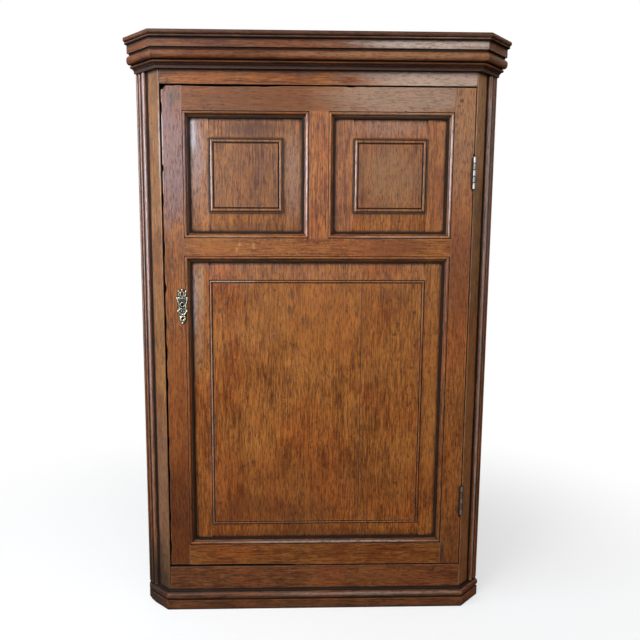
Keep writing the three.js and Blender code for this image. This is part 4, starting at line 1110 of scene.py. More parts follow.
@dataclass
class Panels(Joinery):
    """Fielded panels of the door, whose side margins were planed through from end to end.

    Attributes:
        outer_depth: Depth of a margin at the frame, behind the door's face.
        inner_depth: Its depth at the field.
        root_depth: How deep the added lands are rooted in the panel.
        play: Space between a land's end and the frame.
        upper_field: Nearer and further X of an upper field, and its top and bottom.
        lower_field: Half width of the lower field, and its top and bottom.
        upper_bead: Depth of an upper field's bead, behind the door's face.
        lower_bead: Depth of the lower field's.
    """

    body: str = "door"
    slot: str = "oak_panel"
    oak: Oak = Finishes.panel
    rounding: float = 0.0004
    outer_depth: float = 0.0095
    inner_depth: float = 0.0075
    root_depth: float = 0.0125
    play: float = 0.0004
    upper_field: tuple[float, float, float, float] = (0.0675, 0.211, 0.9535, 0.8125)
    lower_field: tuple[float, float, float] = (0.2135, 0.683, 0.1785)
    upper_bead: float = 0.0048
    lower_bead: float = 0.0055

    def corners(self, node: str) -> list[tuple[float, float, float, float]]:
        """Where a panel's side margins have to run on.

        Args:
            node: The panel's CAD node.

        Returns:
            For each corner X of the frame and of the field, and height of the field and of the frame.
        """
        side = -1.0 if "left" in node else 1.0
        stile = edge("hinge_stile", LOW, X)
        if node.startswith("upper"):
            near, far, top, bottom = self.upper_field
            across = sorted(((side * edge("muntin", HIGH, X), side * near), (side * stile, side * far)))
            heights = ((top, edge("door_top_rail", LOW, Z)), (bottom, edge("door_mid_rail", HIGH, Z)))
        else:
            far, top, bottom = self.lower_field
            across = [(side * stile, side * far)]
            heights = ((top, edge("door_mid_rail", LOW, Z)), (bottom, edge("door_bottom_rail", HIGH, Z)))
        return [(*pair, *height) for height in heights for pair in across]

    def shape(self, node: str, piece: bpy.types.Object) -> None:
        """Fill the mitred corners of the margins, so that the side margins run through.

        Args:
            node: The board's CAD node.
            piece: Its copy.
        """
        for outer, inner, field_end, frame_end in self.corners(node):
            end = frame_end - math.copysign(self.play, frame_end - field_end)
            land = self.land(outer, inner, field_end, end)
            modify(piece, "BOOLEAN", operation="UNION", object=land, solver="EXACT")
            drop(land)

    def land(self, outer: float, inner: float, start: float, end: float) -> bpy.types.Object:
        """A wedge that carries a side margin on past the field's corner.

        Args:
            outer: X of the frame.
            inner: X of the field.
            start: Height of the field's corner.
            end: Height where the wedge stops.

        Returns:
            The wedge.
        """
        middle = ((outer + inner) / 2, FACE_Y + self.root_depth / 2, (start + end) / 2)
        size = (abs(outer - inner), self.root_depth, abs(end - start))
        wedge = primitive("margin_land", bpy.ops.mesh.primitive_cube_add, size, size=1.0, location=middle)
        fall = self.outer_depth - self.inner_depth
        slope = Vector((math.copysign(fall, outer - inner), -abs(outer - inner), 0.0)).normalized()
        edit_all(wedge)
        bpy.ops.mesh.bisect(
            plane_co=(outer, FACE_Y + self.outer_depth, 0.0), plane_no=slope, use_fill=True, clear_outer=True
        )
        end_edit()
        return wedge

    def shaded_beads(self, side: float) -> tuple[Patch, ...]:
        """Painted shade on three beads of an upper field: its top, its bottom and its right.

        Args:
            side: 1 on the right panel and -1 on the left.

        Returns:
            Three patches.
        """
        middle, right = side * 0.13925, 0.2068 if side > 0 else -0.0718
        level = (
            painted_bead_light(middle, height, 0.1, 0.6, self.upper_bead, True, PAINTED_BEAD_SHADE) for height in (0.949, 0.817)
        )
        return (*level, painted_bead_light(right, 0.883, 0.1, 0.6, self.upper_bead, False, PAINTED_BEAD_SHADE))

    def build(self) -> None:
        """Build and dress the four panel boards."""
        left = (
            # Painted sheen down the left margin, with a bluish painted reflection at its top
            front_patch(-0.238, 0.93, 0.02, 0.12, rgb(0.4, 0.27, 0.24), 0.5),
            front_patch(-0.242, 0.962, 0.009, 0.045, rgb(0.6, 0.6, 0.66), 0.65),
            front_patch(-0.05, 0.88, 0.022, 0.1, rgb(0.38, 0.22, 0.14), 0.45),
            # Painted shade on the field's top, bottom and right beads
            *self.shaded_beads(-1.0),
            front_patch(-0.13, 0.97, 0.075, 0.02, rgb(0.1, 0.03, 0.009), 0.75),
            front_patch(-0.14, 0.785, 0.09, 0.012, rgb(0.13, 0.045, 0.016), 0.4),
            # Painted highlight on the field's left bead
            painted_bead_light(-0.2068, 0.883, 0.1, 0.8, self.upper_bead),
        )
        right = (
            front_patch(0.13, 0.975, 0.09, 0.02, rgb(0.28, 0.16, 0.1), 0.5),
            front_patch(0.232, 0.88, 0.02, 0.08, rgb(0.32, 0.1, 0.025), 0.5),
            front_patch(0.14, 0.883, 0.075, 0.075, rgb(0.44, 0.22, 0.085), 0.5),
            # Painted shade on the field's top, bottom and right beads
            *self.shaded_beads(1.0),
            # Painted highlight on the field's left bead
            painted_bead_light(0.0718, 0.883, 0.1, 0.7, self.upper_bead),
        )
        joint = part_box("lower_panel_left_board")[1].x
        dents = (
            (-0.1755, 0.446, 0.006, 0.002), (-0.085, 0.572, 0.004, 0.003), (-0.0665, 0.561, 0.003, 0.003),
            (-0.0645, 0.446, 0.005, 0.002), (0.0855, 0.535, 0.005, 0.005), (0.155, 0.574, 0.008, 0.004),
        )
        lower = (
            Patch((joint, FACE_Y + 0.006, 0.42), (0.0012, 0.006, 0.4), None, 0.6),
            *(front_patch(*dent, rgb(0.05, 0.022, 0.012), 0.65) for dent in dents),
            # Painted sheen, lilac and beige, high on the left margin
            front_patch(-0.238, 0.62, 0.018, 0.16, rgb(0.38, 0.2, 0.12), 0.55),
            front_patch(-0.2425, 0.645, 0.008, 0.08, rgb(0.46, 0.34, 0.33), 0.7),
            front_patch(-0.23, 0.67, 0.01, 0.07, rgb(0.46, 0.28, 0.15), 0.55),
            # Painted highlight on the left of the field's top bead
            painted_bead_light(-0.185, 0.6795, 0.08, 0.6, self.lower_bead, True, DIM_PAINTED_HIGHLIGHT),
            front_patch(0.0, 0.6, 0.17, 0.12, rgb(0.42, 0.155, 0.03), 0.4),
            front_patch(0.232, 0.45, 0.02, 0.3, rgb(0.44, 0.17, 0.04), 0.4),
            front_patch(-0.0487, 0.655, 0.006, 0.02, rgb(0.06, 0.03, 0.015), 0.6),
            front_patch(-0.054, 0.624, 0.008, 0.012, rgb(0.06, 0.035, 0.02), 0.55),
            front_patch(-0.193, 0.622, 0.007, 0.009, rgb(0.08, 0.045, 0.03), 0.55),
            front_patch(-0.02, 0.6, 0.012, 0.02, rgb(0.1, 0.04, 0.018), 0.4),
            front_patch(0.15, 0.655, 0.05, 0.02, rgb(0.13, 0.045, 0.014), 0.45),
            front_patch(0.0, 0.26, 0.3, 0.1, rgb(0.17, 0.042, 0.009), 0.35),
            front_patch(-0.1, 0.2, 0.2, 0.05, rgb(0.12, 0.033, 0.009), 0.45),
            front_patch(0.0, 0.155, 0.3, 0.02, rgb(0.11, 0.034, 0.012), 0.5),
            # Painted highlight down the field's left bead
            painted_bead_light(-0.2103, 0.43, 0.3, 0.4, self.lower_bead, False, DIM_PAINTED_HIGHLIGHT),
        )
        self.refine("upper_left_panel", Grain.UPRIGHT, left, 0.92, Finishes.upper_panel)
        self.refine("upper_right_panel", Grain.UPRIGHT, right, 0.97, Finishes.upper_panel)
        self.refine("lower_panel_left_board", Grain.UPRIGHT, lower)
        self.refine("lower_panel_right_board", Grain.UPRIGHT, lower, 0.94)


@dataclass
class CarcaseFront(Joinery):
    """Posts and rails of the carcase."""

    body: str = "carcase"
    slot: str = "oak_carcase"
    oak: Oak = Finishes.carcase
    rounding: float = 0.0008

    def build(self) -> None:
        """Build and dress the posts, the frieze rail and the bottom rail."""
        soot = Patch((-0.345, FACE_Y + 0.02, 0.03), (0.05, 0.08, 0.13), rgb(0.03, 0.018, 0.01), 0.8)
        # Black creases beside the reeded mouldings: soiling, and painted shade
        left, right = crease_dirt_and_shade(-1.0), crease_dirt_and_shade(1.0)
        faded = Patch((-0.32, FACE_Y + 0.01, 0.25), (0.08, 0.08, 0.22), rgb(0.19, 0.1, 0.062), 0.6)
        dim = Patch((-0.315, FACE_Y + 0.01, 0.055), (0.06, 0.08, 0.12), rgb(0.05, 0.031, 0.022), 0.6)
        gleam = Patch((-0.3035, FACE_Y, 0.95), (0.0016, 0.006, 0.1), PAINTED_HIGHLIGHT, 0.5)
        # Black along the top of the foot moulding: soiling, and painted shade in the crease
        foot_dirt_and_shade = Patch((0.0, 0.0, 0.0395), (9.0, 9.0, 0.0033), None, 0.95)
        brown = Patch((-0.312, FACE_Y, 1.0), (0.03, 0.03, 0.14), rgb(0.22, 0.105, 0.036), 0.4)
        self.refine("left_post", Grain.UPRIGHT, (faded, brown, dim, soot, gleam, left, foot_dirt_and_shade))
        lit = Patch((0.33, FACE_Y + 0.01, 1.0), (0.08, 0.08, 0.16), rgb(0.46, 0.22, 0.08), 0.65)
        aged = Patch((0.33, FACE_Y + 0.01, 0.3), (0.08, 0.08, 0.4), rgb(0.33, 0.12, 0.038), 0.5)
        self.refine("right_post", Grain.UPRIGHT, (lit, aged, right, foot_dirt_and_shade), 0.84)
        # Greyish bloom with painted sheen on the right of the frieze
        grey_bloom_and_sheen = front_patch(0.22, 1.085, 0.2, 0.08, rgb(0.5, 0.375, 0.295), 0.72)
        spot = front_patch(-0.02, 1.07, 0.03, 0.01, rgb(0.1, 0.04, 0.02), 0.5)
        self.refine("frieze_rail", Grain.ACROSS, (grey_bloom_and_sheen, spot), 0.85, Finishes.frieze)
        glow = front_patch(0.13, 0.07, 0.1, 0.03, rgb(0.24, 0.08, 0.017), 0.45)
        self.refine("bottom_rail", Grain.ACROSS, (glow, foot_dirt_and_shade), 1.05, Finishes.foot)


@dataclass
class Mouldings(Joinery):
    """Cornice, foot moulding and the reeded mouldings on the cants.

    Attributes:
        worn_corner: Places and directions of the cuts that round off the foot's left end.
        nick: Place and half sizes of the nick in the cornice's round.
        nick_seed: Which of many lumps broke it out.
    """

    body: str = "carcase"
    slot: str = "oak_moulding"
    oak: Oak = Finishes.moulding
    rounding: float = 0.0005
    worn_corner: tuple[tuple[Triple, Triple], ...] = (
        ((-0.3519, -0.143, 0.0), (-1.0, -0.15, 0.0)),
        ((-0.3516, -0.143, 0.034), (-0.75, -0.2, 0.65)),
        ((-0.3512, -0.143, 0.006), (-0.75, -0.25, -0.6)),
        ((-0.346, -0.148, 0.0018), (-0.5, -0.3, -0.8)),
    )
    nick: tuple[Triple, Triple] = ((-0.277, FACE_Y - 0.026, 1.105), (0.004, 0.002, 0.003))
    nick_seed: int = 11

    def shape(self, node: str, piece: bpy.types.Object) -> None:
        """Knock a nick out of the cornice's round and wear off the left end of the foot moulding.

        Args:
            node: The moulding's CAD node.
            piece: Its copy.
        """
        if node == "cornice_front":
            carve(piece, ragged_stone(*self.nick, self.nick_seed))
        if node == "base_moulding_left_return":
            for place, normal in self.worn_corner:
                edit_all(piece)
                bpy.ops.mesh.bisect(plane_co=place, plane_no=normal, use_fill=True, clear_outer=True)
                end_edit()

    def build(self) -> None:
        """Build and dress the mouldings."""
        soot = Patch((-0.35, FACE_Y + 0.03, 0.03), (0.06, 0.08, 0.14), rgb(0.028, 0.017, 0.01), 0.85)
        # Painted shade on the cornice's lowest members, its cove and bead
        under = Patch((0.0, FACE_Y, 1.077), (1.2, 0.3, 0.0098), rgb(0.04, 0.009, 0.002), 0.95)
        # Painted shade: a black line under the cornice's nose
        lip_shade = Patch((0.0, 0.0, 1.1262), (9.0, 9.0, 0.0018), None, 0.95)
        nose = Patch((-0.05, FACE_Y, 1.1355), (0.6, 0.3, 0.0085), rgb(0.05, 0.03, 0.021), 0.6)
        # Greyish bloom with painted sheen on the right of the cornice
        faded = Patch((0.22, FACE_Y - 0.03, 1.118), (0.22, 0.05, 0.013), rgb(0.52, 0.4, 0.33), 0.8)
        warm = Patch((0.16, FACE_Y - 0.04, 1.098), (0.3, 0.05, 0.012), rgb(0.36, 0.17, 0.08), 0.6)
        front = (faded, warm, nose, under, lip_shade)
        self.refine("cornice_front", Grain.ACROSS, front, 0.9, Finishes.cornice)
        self.refine("cornice_left_return", Grain.LEFTWARD_BACK, (nose, under, lip_shade), 0.9, Finishes.cornice)
        self.refine("cornice_right_return", Grain.RIGHTWARD_BACK, (under, lip_shade), 1.0, Finishes.cornice)
        reed_x, reed_y = 0.3365, FACE_Y + 0.0235
        glint = Patch((reed_x, reed_y, 0.95), (0.0036, 0.004, 0.13), rgb(0.5, 0.55, 0.58), 0.25)
        for name, side, tone, middle, strength, other in (
            ("left", -1.0, 1.1, 0.75, 0.28, soot), ("right", 1.0, 1.35, 0.55, 0.42, glint),
        ):
            # Painted highlight along the inner reed of each cant
            painted_reed_highlight = Patch((side * reed_x, reed_y, middle), (0.004, 0.004, 0.8), rgb(0.55, 0.5, 0.5), strength)
            # Black in the crease beside the reeds: soiling, and painted shade
            self.refine(f"{name}_reeded_moulding", Grain.UPRIGHT, (painted_reed_highlight, other, crease_dirt_and_shade(side)), tone)
        # Black along the top of the foot moulding: soiling, and painted shade in the crease
        lodged_dirt_and_shade = Patch((0.0, 0.0, 0.0385), (9.0, 9.0, 0.0034), None, 0.95)
        # Painted highlight along the top of the foot moulding's bead
        pale = Patch((0.11, FACE_Y, 0.031), (0.27, 0.06, 0.004), rgb(0.34, 0.28, 0.22), 0.42)
        self.refine("base_moulding_front", Grain.ACROSS, (pale, lodged_dirt_and_shade), 0.85, Finishes.foot)
        self.refine("base_moulding_right_return", Grain.RIGHTWARD_BACK, (lodged_dirt_and_shade,), 1.1, Finishes.foot)
        sooty = Finishes.sooty_foot
        self.refine("base_moulding_left_return", Grain.LEFTWARD_BACK, (lodged_dirt_and_shade, soot), 0.7, sooty)


@dataclass
class Interior(Joinery):
    """Shelves, bearers, the bottom board and the door stop, in bare oak."""

    body: str = "carcase"
    slot: str = "oak_inside"
    oak: Oak = Finishes.inside
    rounding: float = 0.0008

    def build(self) -> None:
        """Build and dress what is inside the cupboard."""
        for node in ("bottom_board", "lower_shelf", "upper_shelf"):
            self.refine(node, Grain.ACROSS)
        self.refine("door_stop", Grain.UPRIGHT)
        for level in ("lower", "upper"):
            self.refine(f"{level}_left_bearer", Grain.RIGHTWARD_BACK)
            self.refine(f"{level}_right_bearer", Grain.LEFTWARD_BACK)


@dataclass
class Back(Joinery):
    """The top board and the back boards, rougher than the rest."""

    body: str = "carcase"
    slot: str = "oak_inside"
    oak: Oak = Finishes.back
    rounding: float = 0.0014

    def build(self) -> None:
        """Build and dress the boards."""
        self.refine("top_board", Grain.ACROSS)
        for side in ("left", "right"):
            for number, tone in ((1, 0.85), (2, 1.15), (3, 0.95)):
                self.refine(f"{side}_back_board_{number}", Grain.UPRIGHT, (), tone)


@dataclass
class Nails:
    """Hand-made nails through the back boards into the posts, shelves and boards.

    Attributes:
        wall_start: X and Y of the right wall's front end.
        wall_end: X and Y of its back end, in the corner.
        head_radius: Radius of a nail's head.
        head_rise: How far it stands out of the board.
        crown: Radius of the flat on the head, beside the head's.
        shoulder: How far the shank stands in from the head's edge, beside the head's radius.
        shank: How far the shank is driven in.
        chamfer: How far its edges are hammered off.
        heights: Heights of the rows.
        shares: Places of a row's nails along the wall.
    """

    wall_start: tuple[float, float] = (0.349, FACE_Y + 0.046)
    wall_end: tuple[float, float] = (0.0, 0.2135)
    head_radius: float = 0.0034
    head_rise: float = 0.0007
    crown: float = 0.35
    shoulder: float = 0.55
    shank: float = 0.008
    chamfer: float = 0.0003
    heights: tuple[float, ...] = (0.081, 0.42, 0.744, 1.1)
    shares: tuple[float, ...] = (0.06, 0.3, 0.42, 0.6, 0.74, 0.93)

    def model(self) -> bpy.types.Object:
        """Model one nail, with its head on the wall's outside facing along +X.

        Returns:
            The nail at the origin.
        """
        nail = primitive(
            "wall_nail", bpy.ops.mesh.primitive_cone_add, vertices=8, radius1=self.head_radius,
            radius2=self.head_radius * self.crown, depth=self.head_rise * 2, rotation=(0.0, math.pi / 2, 0.0),
        )
        edit_all(nail)
        bpy.ops.mesh.select_all(action="DESELECT")
        bpy.ops.mesh.select_mode(type="FACE")
        end_edit()
        for face in nail.data.polygons:
            face.select = face.normal.x < -0.9
        bpy.ops.object.mode_set(mode="EDIT")
        bpy.ops.mesh.inset(thickness=self.head_radius * self.shoulder)
        bpy.ops.mesh.extrude_region_move(TRANSFORM_OT_translate={"value": (-self.shank, 0.0, 0.0)})
        end_edit()
        chamfer(nail, self.chamfer, segments=1, sharp=35.0)
        return nail

    def build(self) -> None:
        """Build the nails of both walls and dress them."""
        model = self.model()
        iron = Finishes.iron.material("nail_iron")
        start, corner = Vector(self.wall_start), Vector(self.wall_end)
        for name, side, angle in (("right", 1.0, math.pi / 4), ("left", -1.0, 3 * math.pi / 4)):
            for row, height in enumerate(self.heights, 1):
                for place, share in enumerate(self.shares, 1):
                    spot = start.lerp(corner, share)
                    nail = model.copy()
                    nail.data = model.data.copy()
                    bpy.context.scene.collection.objects.link(nail)
                    nail.location = (side * spot.x, spot.y, height)
                    nail.rotation_euler = (0.0, 0.0, angle)
                    settle(nail, f"{name}_wall_nail_{row}_{place}")
                    hand_over(nail, iron, "carcase")
        drop(model)


@dataclass
class Hinges:
    """The butt hinges with their slotted screws.

    Attributes:
        rounding: How far the brass is rounded.
        slot: Depth, width and length of the slot in a screw.
        screw_chamfer: How far a screw's edges are worn off.
        axis: X and Y of the hinges' axis.
        knuckle_radius: Radius of the knuckles.
        knuckles: How many knuckles a hinge has.
        groove: Radius of the worn groove where two knuckles meet.
        darkening: How bright a frame leaf is beside the door's.
        seed: Which of many ways the screws are turned.
    """

    rounding: float = 0.00035
    slot: Triple = (0.0008, 0.0009, 0.01)
    screw_chamfer: float = 0.0002
    axis: tuple[float, float] = (centre_of("upper_hinge_pin", X), centre_of("upper_hinge_pin", Y))
    knuckle_radius: float = 0.0034
    knuckles: int = 5
    groove: float = 0.0011
    darkening: float = 0.6
    seed: int = 4

    def leaf(self, node: str, body: str, brass: bpy.types.Material) -> None:
        """Build one leaf or pin from its node and dress it.

        Args:
            node: The CAD node.
            body: The body that it rides on.
            brass: Its finish.
        """
        piece = copy_of(node, node + "_brass")
        low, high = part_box(node.rsplit("_hinge_", 1)[0] + "_hinge_pin")
        if not node.endswith("pin"):
            for joint in range(1, self.knuckles):
                height = low.z + (high.z - low.z) * joint / self.knuckles
                cutter = primitive(
                    "groove_cutter", bpy.ops.mesh.primitive_torus_add, location=(*self.axis, height),
                    major_radius=self.knuckle_radius, major_segments=32,
                    minor_radius=self.groove, minor_segments=8,
                )
                carve(piece, cutter)
        soften(piece, self.rounding, METAL_SHARP)
        hand_over(piece, brass, body, (node,))

    def screw(self, node: str, body: str, outward: float, turn: float, iron: bpy.types.Material) -> None:
        """Build one screw with its slot and dress it.

        Args:
            node: The CAD node.
            body: The body that it rides on.
            outward: Which way its head looks along X.
            turn: The angle of its slot.
            iron: Its finish.
        """
        low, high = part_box(node)
        piece = copy_of(node, node + "_slotted")
        middle = (high.x if outward > 0 else low.x, (low.y + high.y) / 2, (low.z + high.z) / 2)
        depth, width, length = self.slot
        cutter = primitive(
            "slot_cutter", bpy.ops.mesh.primitive_cube_add, (depth * 2, width, length), size=1.0,
            location=middle, rotation=(turn, 0.0, 0.0),
        )
        carve(piece, cutter)
        chamfer(piece, self.screw_chamfer, 1, METAL_SHARP)
        hand_over(piece, iron, body, (node,))

    def build(self) -> None:
        """Build both hinges."""
        metals = {"upper": Finishes.bright_hinge, "lower": Finishes.dull_hinge}
        iron = Finishes.iron.material("screw_iron")
        chance = random.Random(self.seed)
        for level, finish in metals.items():
            brass = finish.material(f"{level}_hinge_brass")
            dark_finish = replace(finish, bright=toned(finish.bright, self.darkening))
            darker = dark_finish.material(f"{level}_hinge_darker_brass")
            self.leaf(f"{level}_hinge_frame_leaf", "carcase", darker)
            self.leaf(f"{level}_hinge_door_leaf", "door", brass)
            self.leaf(f"{level}_hinge_pin", "carcase", brass)
            for number in (1, 2, 3):
                for side, body, outward in (("frame", "carcase", -1.0), ("door", "door", 1.0)):
                    node = f"{level}_hinge_{side}_screw_{number}"
                    self.screw(node, body, outward, chance.uniform(0, math.pi), iron)


@dataclass
class KeyPlate:
    """The pierced brass plate round the keyhole, with its scrolls, beads and pins.

    Attributes:
        middle: X of its middle.
        foot: Height of its foot.
        height: Its height.
        half_width: Half its width.
        face_y: Its front face.
        rounding: How far its edges are rounded.
        beads: Share of the half width, share of the height and radius of each bead.
        dome: How high a bead is beside its radius.
        scrolls: Lines of the raised scrolls on the right half, as such shares.
        ridge: Radius of a scroll's ridge.
        sunk: How far the middle of a ridge lies behind the plate's face.
        rings: Share of the height, radius, thickness and stretch of the ring round each hole.
        pins: Places of the pins, as such shares.
        pin_radius: Radius of their heads.
        pin_rise: How far the middle of a head lies in front of the plate's face.
    """

    middle: float = centre_of("escutcheon", X)
    foot: float = edge("escutcheon", LOW, Z)
    height: float = round(edge("escutcheon", HIGH, Z) - edge("escutcheon", LOW, Z), 6)
    half_width: float = 0.0112
    face_y: float = PLATE_Y
    rounding: float = 0.0005
    beads: tuple[tuple[float, float, float], ...] = (
        (0.0, 0.965, 0.0021),
        (0.0, 0.035, 0.0021),
        (0.86, 0.735, 0.0021),
        (0.66, 0.93, 0.0017),
        (0.78, 0.375, 0.0018),
        (0.45, 0.205, 0.0011),
        (0.35, 0.12, 0.0010),
    )
    dome: float = 0.75
    scrolls: tuple[tuple[tuple[float, float], ...], ...] = (
        ((0.08, 0.93), (0.3, 0.9), (0.52, 0.9), (0.6, 0.85), (0.5, 0.8), (0.36, 0.79)),
        (
            (0.42, 0.76), (0.7, 0.75), (0.78, 0.7), (0.75, 0.63), (0.62, 0.57), (0.56, 0.5), (0.58, 0.43),
            (0.7, 0.39),
        ),
        ((0.62, 0.34), (0.45, 0.3), (0.3, 0.255), (0.38, 0.21), (0.45, 0.165), (0.36, 0.105), (0.18, 0.08)),
        ((0.76, 0.375), (0.5, 0.415), (0.14, 0.465)),
        ((0.76, 0.37), (0.45, 0.32), (0.0, 0.258)),
        ((0.6, 0.7), (0.35, 0.725), (0.0, 0.73)),
    )
    ridge: float = 0.0007
    sunk: float = 0.0001
    rings: tuple[tuple[float, float, float, float], ...] = (
        (0.163, 0.0036, 0.0009, 1.05),
        (0.378, 0.0022, 0.0005, 1.0),
        (0.557, 0.0040, 0.0007, 1.0),
        (0.845, 0.0033, 0.0005, 1.3),
    )
    pins: tuple[tuple[float, float], ...] = ((0.0, 0.75), (0.0, 0.285))
    pin_radius: float = 0.0012
    pin_rise: float = 0.0002

    def spot(self, across: float, up: float, out: float = 0.0) -> Triple:
        """A place on the plate from its shares."""
        return (self.middle + across * self.half_width, self.face_y - out, self.foot + up * self.height)

    def bead(self, centre: Triple, radius: float) -> bpy.types.Object:
        """A small domed bead, flattened against the plate.

        Args:
            centre: Its middle.
            radius: Its radius.

        Returns:
            The bead.
        """
        return primitive(
            "bead", bpy.ops.mesh.primitive_uv_sphere_add, (1.0, self.dome, 1.0), segments=16, ring_count=8,
            radius=radius, location=centre,
        )

    def scroll(self, line: tuple[tuple[float, float], ...], side: float) -> bpy.types.Object:
        """A raised scroll.

        Args:
            line: Its places as shares.
            side: 1 on the right half and -1 on the left.

        Returns:
            The scroll as a mesh.
        """
        data = bpy.data.curves.new("scroll", "CURVE")
        data.dimensions = "3D"
        data.bevel_depth = self.ridge
        data.bevel_resolution = 3
        data.resolution_u = 6
        spline = data.splines.new("BEZIER")
        spline.bezier_points.add(len(line) - 1)
        for point, (across, up) in zip(spline.bezier_points, line):
            point.co = self.spot(side * across, up, -self.sunk)
            point.handle_left_type = point.handle_right_type = "AUTO"
        data.use_fill_caps = True
        made = bpy.data.objects.new("scroll", data)
        bpy.context.scene.collection.objects.link(made)
        select_only(made)
        bpy.ops.object.convert(target="MESH")
        return bpy.context.active_object

    def ring(self, up: float, radius: float, thickness: float, stretch: float) -> bpy.types.Object:
        """A raised ring round one of the holes.

        Args:
            up: Share of the height of its middle.
            radius: Its radius.
            thickness: Radius of its wire.
            stretch: How much taller it is than wide.

        Returns:
            The ring.
        """
        return primitive(
            "ring", bpy.ops.mesh.primitive_torus_add, (1.0, stretch, 1.0), major_radius=radius,
            minor_radius=thickness, major_segments=32, minor_segments=8, location=self.spot(0.0, up),
            rotation=(math.pi / 2, 0.0, 0.0),
        )

    def build(self) -> None:
        """Build the plate with its relief, and its pins, and dress them."""
        plate = copy_of("escutcheon", "plate")
        soften(plate, self.rounding, METAL_SHARP)
        parts = [plate]
        for across, up, radius in self.beads:
            sides = (1, -1) if across else (1,)
            parts += [self.bead(self.spot(side * across, up), radius) for side in sides]
        for line in self.scrolls:
            parts += [self.scroll(line, side) for side in (1.0, -1.0)]
        parts += [self.ring(*ring) for ring in self.rings]
        whole = joined(parts, "key_plate")
        smooth(whole, METAL_SHARP)
        brass = Finishes.plate_brass.material("plate_brass")
        hand_over(whole, brass, "door", ("escutcheon",))
        for number, (across, up) in enumerate(self.pins, 1):
            pin = self.bead(self.spot(across, up, self.pin_rise), self.pin_radius)
            select_only(named(pin, f"key_plate_pin_{number}"))
            bpy.ops.object.shade_smooth()
            hand_over(pin, brass, "door")


@dataclass
class Lock:
    """The iron lock in the back of the stile, its bolt and its screws.

    Attributes:
        rounding: How far the case's edges are rounded.
        bolt_rounding: How far the bolt's are.
        screw_inset: How far the screws are from the case's edges.
        screw_radius: Radius of their heads.
        screw_dome: How high a head is beside its radius.
        slot: Width, depth and length of the slot in a head.
        slot_height: Height of the slot's middle over a head's foot, beside its radius.
        seed: Which of many ways the screws are turned.
    """

    rounding: float = 0.0004
    bolt_rounding: float = 0.0006
    screw_inset: float = 0.0055
    screw_radius: float = 0.003
    screw_dome: float = 0.45
    slot: Triple = (0.0009, 0.0014, 0.01)
    slot_height: float = 0.5
    seed: int = 9

    def screw_head(self, centre: Vector, turn: float, name: str) -> bpy.types.Object:
        """A domed screw head with a slot, facing backwards.

        Args:
            centre: The middle of its foot.
            turn: The angle of the slot.
            name: Its name.

        Returns:
            The head.
        """
        head = primitive(
            name, bpy.ops.mesh.primitive_uv_sphere_add, (1.0, self.screw_dome, 1.0), segments=20,
            ring_count=10, radius=self.screw_radius, location=centre,
        )
        place = centre + Vector((0.0, self.screw_radius * self.slot_height, 0.0))
        cutter = primitive(
            "slot_cutter", bpy.ops.mesh.primitive_cube_add, self.slot, size=1.0, location=place,
            rotation=(0.0, turn, 0.0),
        )
        carve(head, cutter)
        smooth(head, sharp=40.0)
        return head

    def build(self) -> None:
        """Build and dress the case, the bolt and the screws."""
        iron = Finishes.iron.material("lock_iron")
        for node, body, rounding in (
            ("lock_case", "door", self.rounding), ("lock_bolt", "lock_bolt", self.bolt_rounding),
        ):
            piece = copy_of(node, node + "_iron")
            soften(piece, rounding, METAL_SHARP)
            hand_over(piece, iron, body, (node,))
        low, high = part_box("lock_case")
        chance = random.Random(self.seed)
        inset = self.screw_inset
        spots = [(x, z) for x in (low.x + inset, high.x - inset) for z in (low.z + inset, high.z - inset)]
        for number, (x, z) in enumerate(spots, 1):
            turn = chance.uniform(0.0, math.pi)
            head = self.screw_head(Vector((x, high.y, z)), turn, f"lock_screw_{number}")
            hand_over(head, iron, "door")


@dataclass
class Lamp:
    """A soft rectangular lamp.

    Attributes:
        name: What it is called.
        place: Where it hangs.
        aim: What it looks at.
        width: Its width.
        height: Its height.
        power: Its power in watts.
        colour: Its colour.
        gloss_only: Whether only reflections show it.
    """

    name: str
    place: Triple
    aim: Triple
    width: float
    height: float
    power: float
    colour: Triple = (1.0, 1.0, 1.0)
    gloss_only: bool = False

    def build(self) -> None:
        """Hang the lamp."""
        data = bpy.data.lights.new(self.name, "AREA")
        data.shape = "RECTANGLE"
        data.size = self.width
        data.size_y = self.height
        data.energy = self.power
        data.color = self.colour
        lamp = bpy.data.objects.new(self.name, data)
        lamp.location = self.place
        lamp.rotation_euler = (Vector(self.aim) - Vector(self.place)).to_track_quat("-Z", "Y").to_euler()
        lamp.visible_camera = False
        lamp.visible_diffuse = not self.gloss_only
        bpy.context.scene.collection.objects.link(lamp)


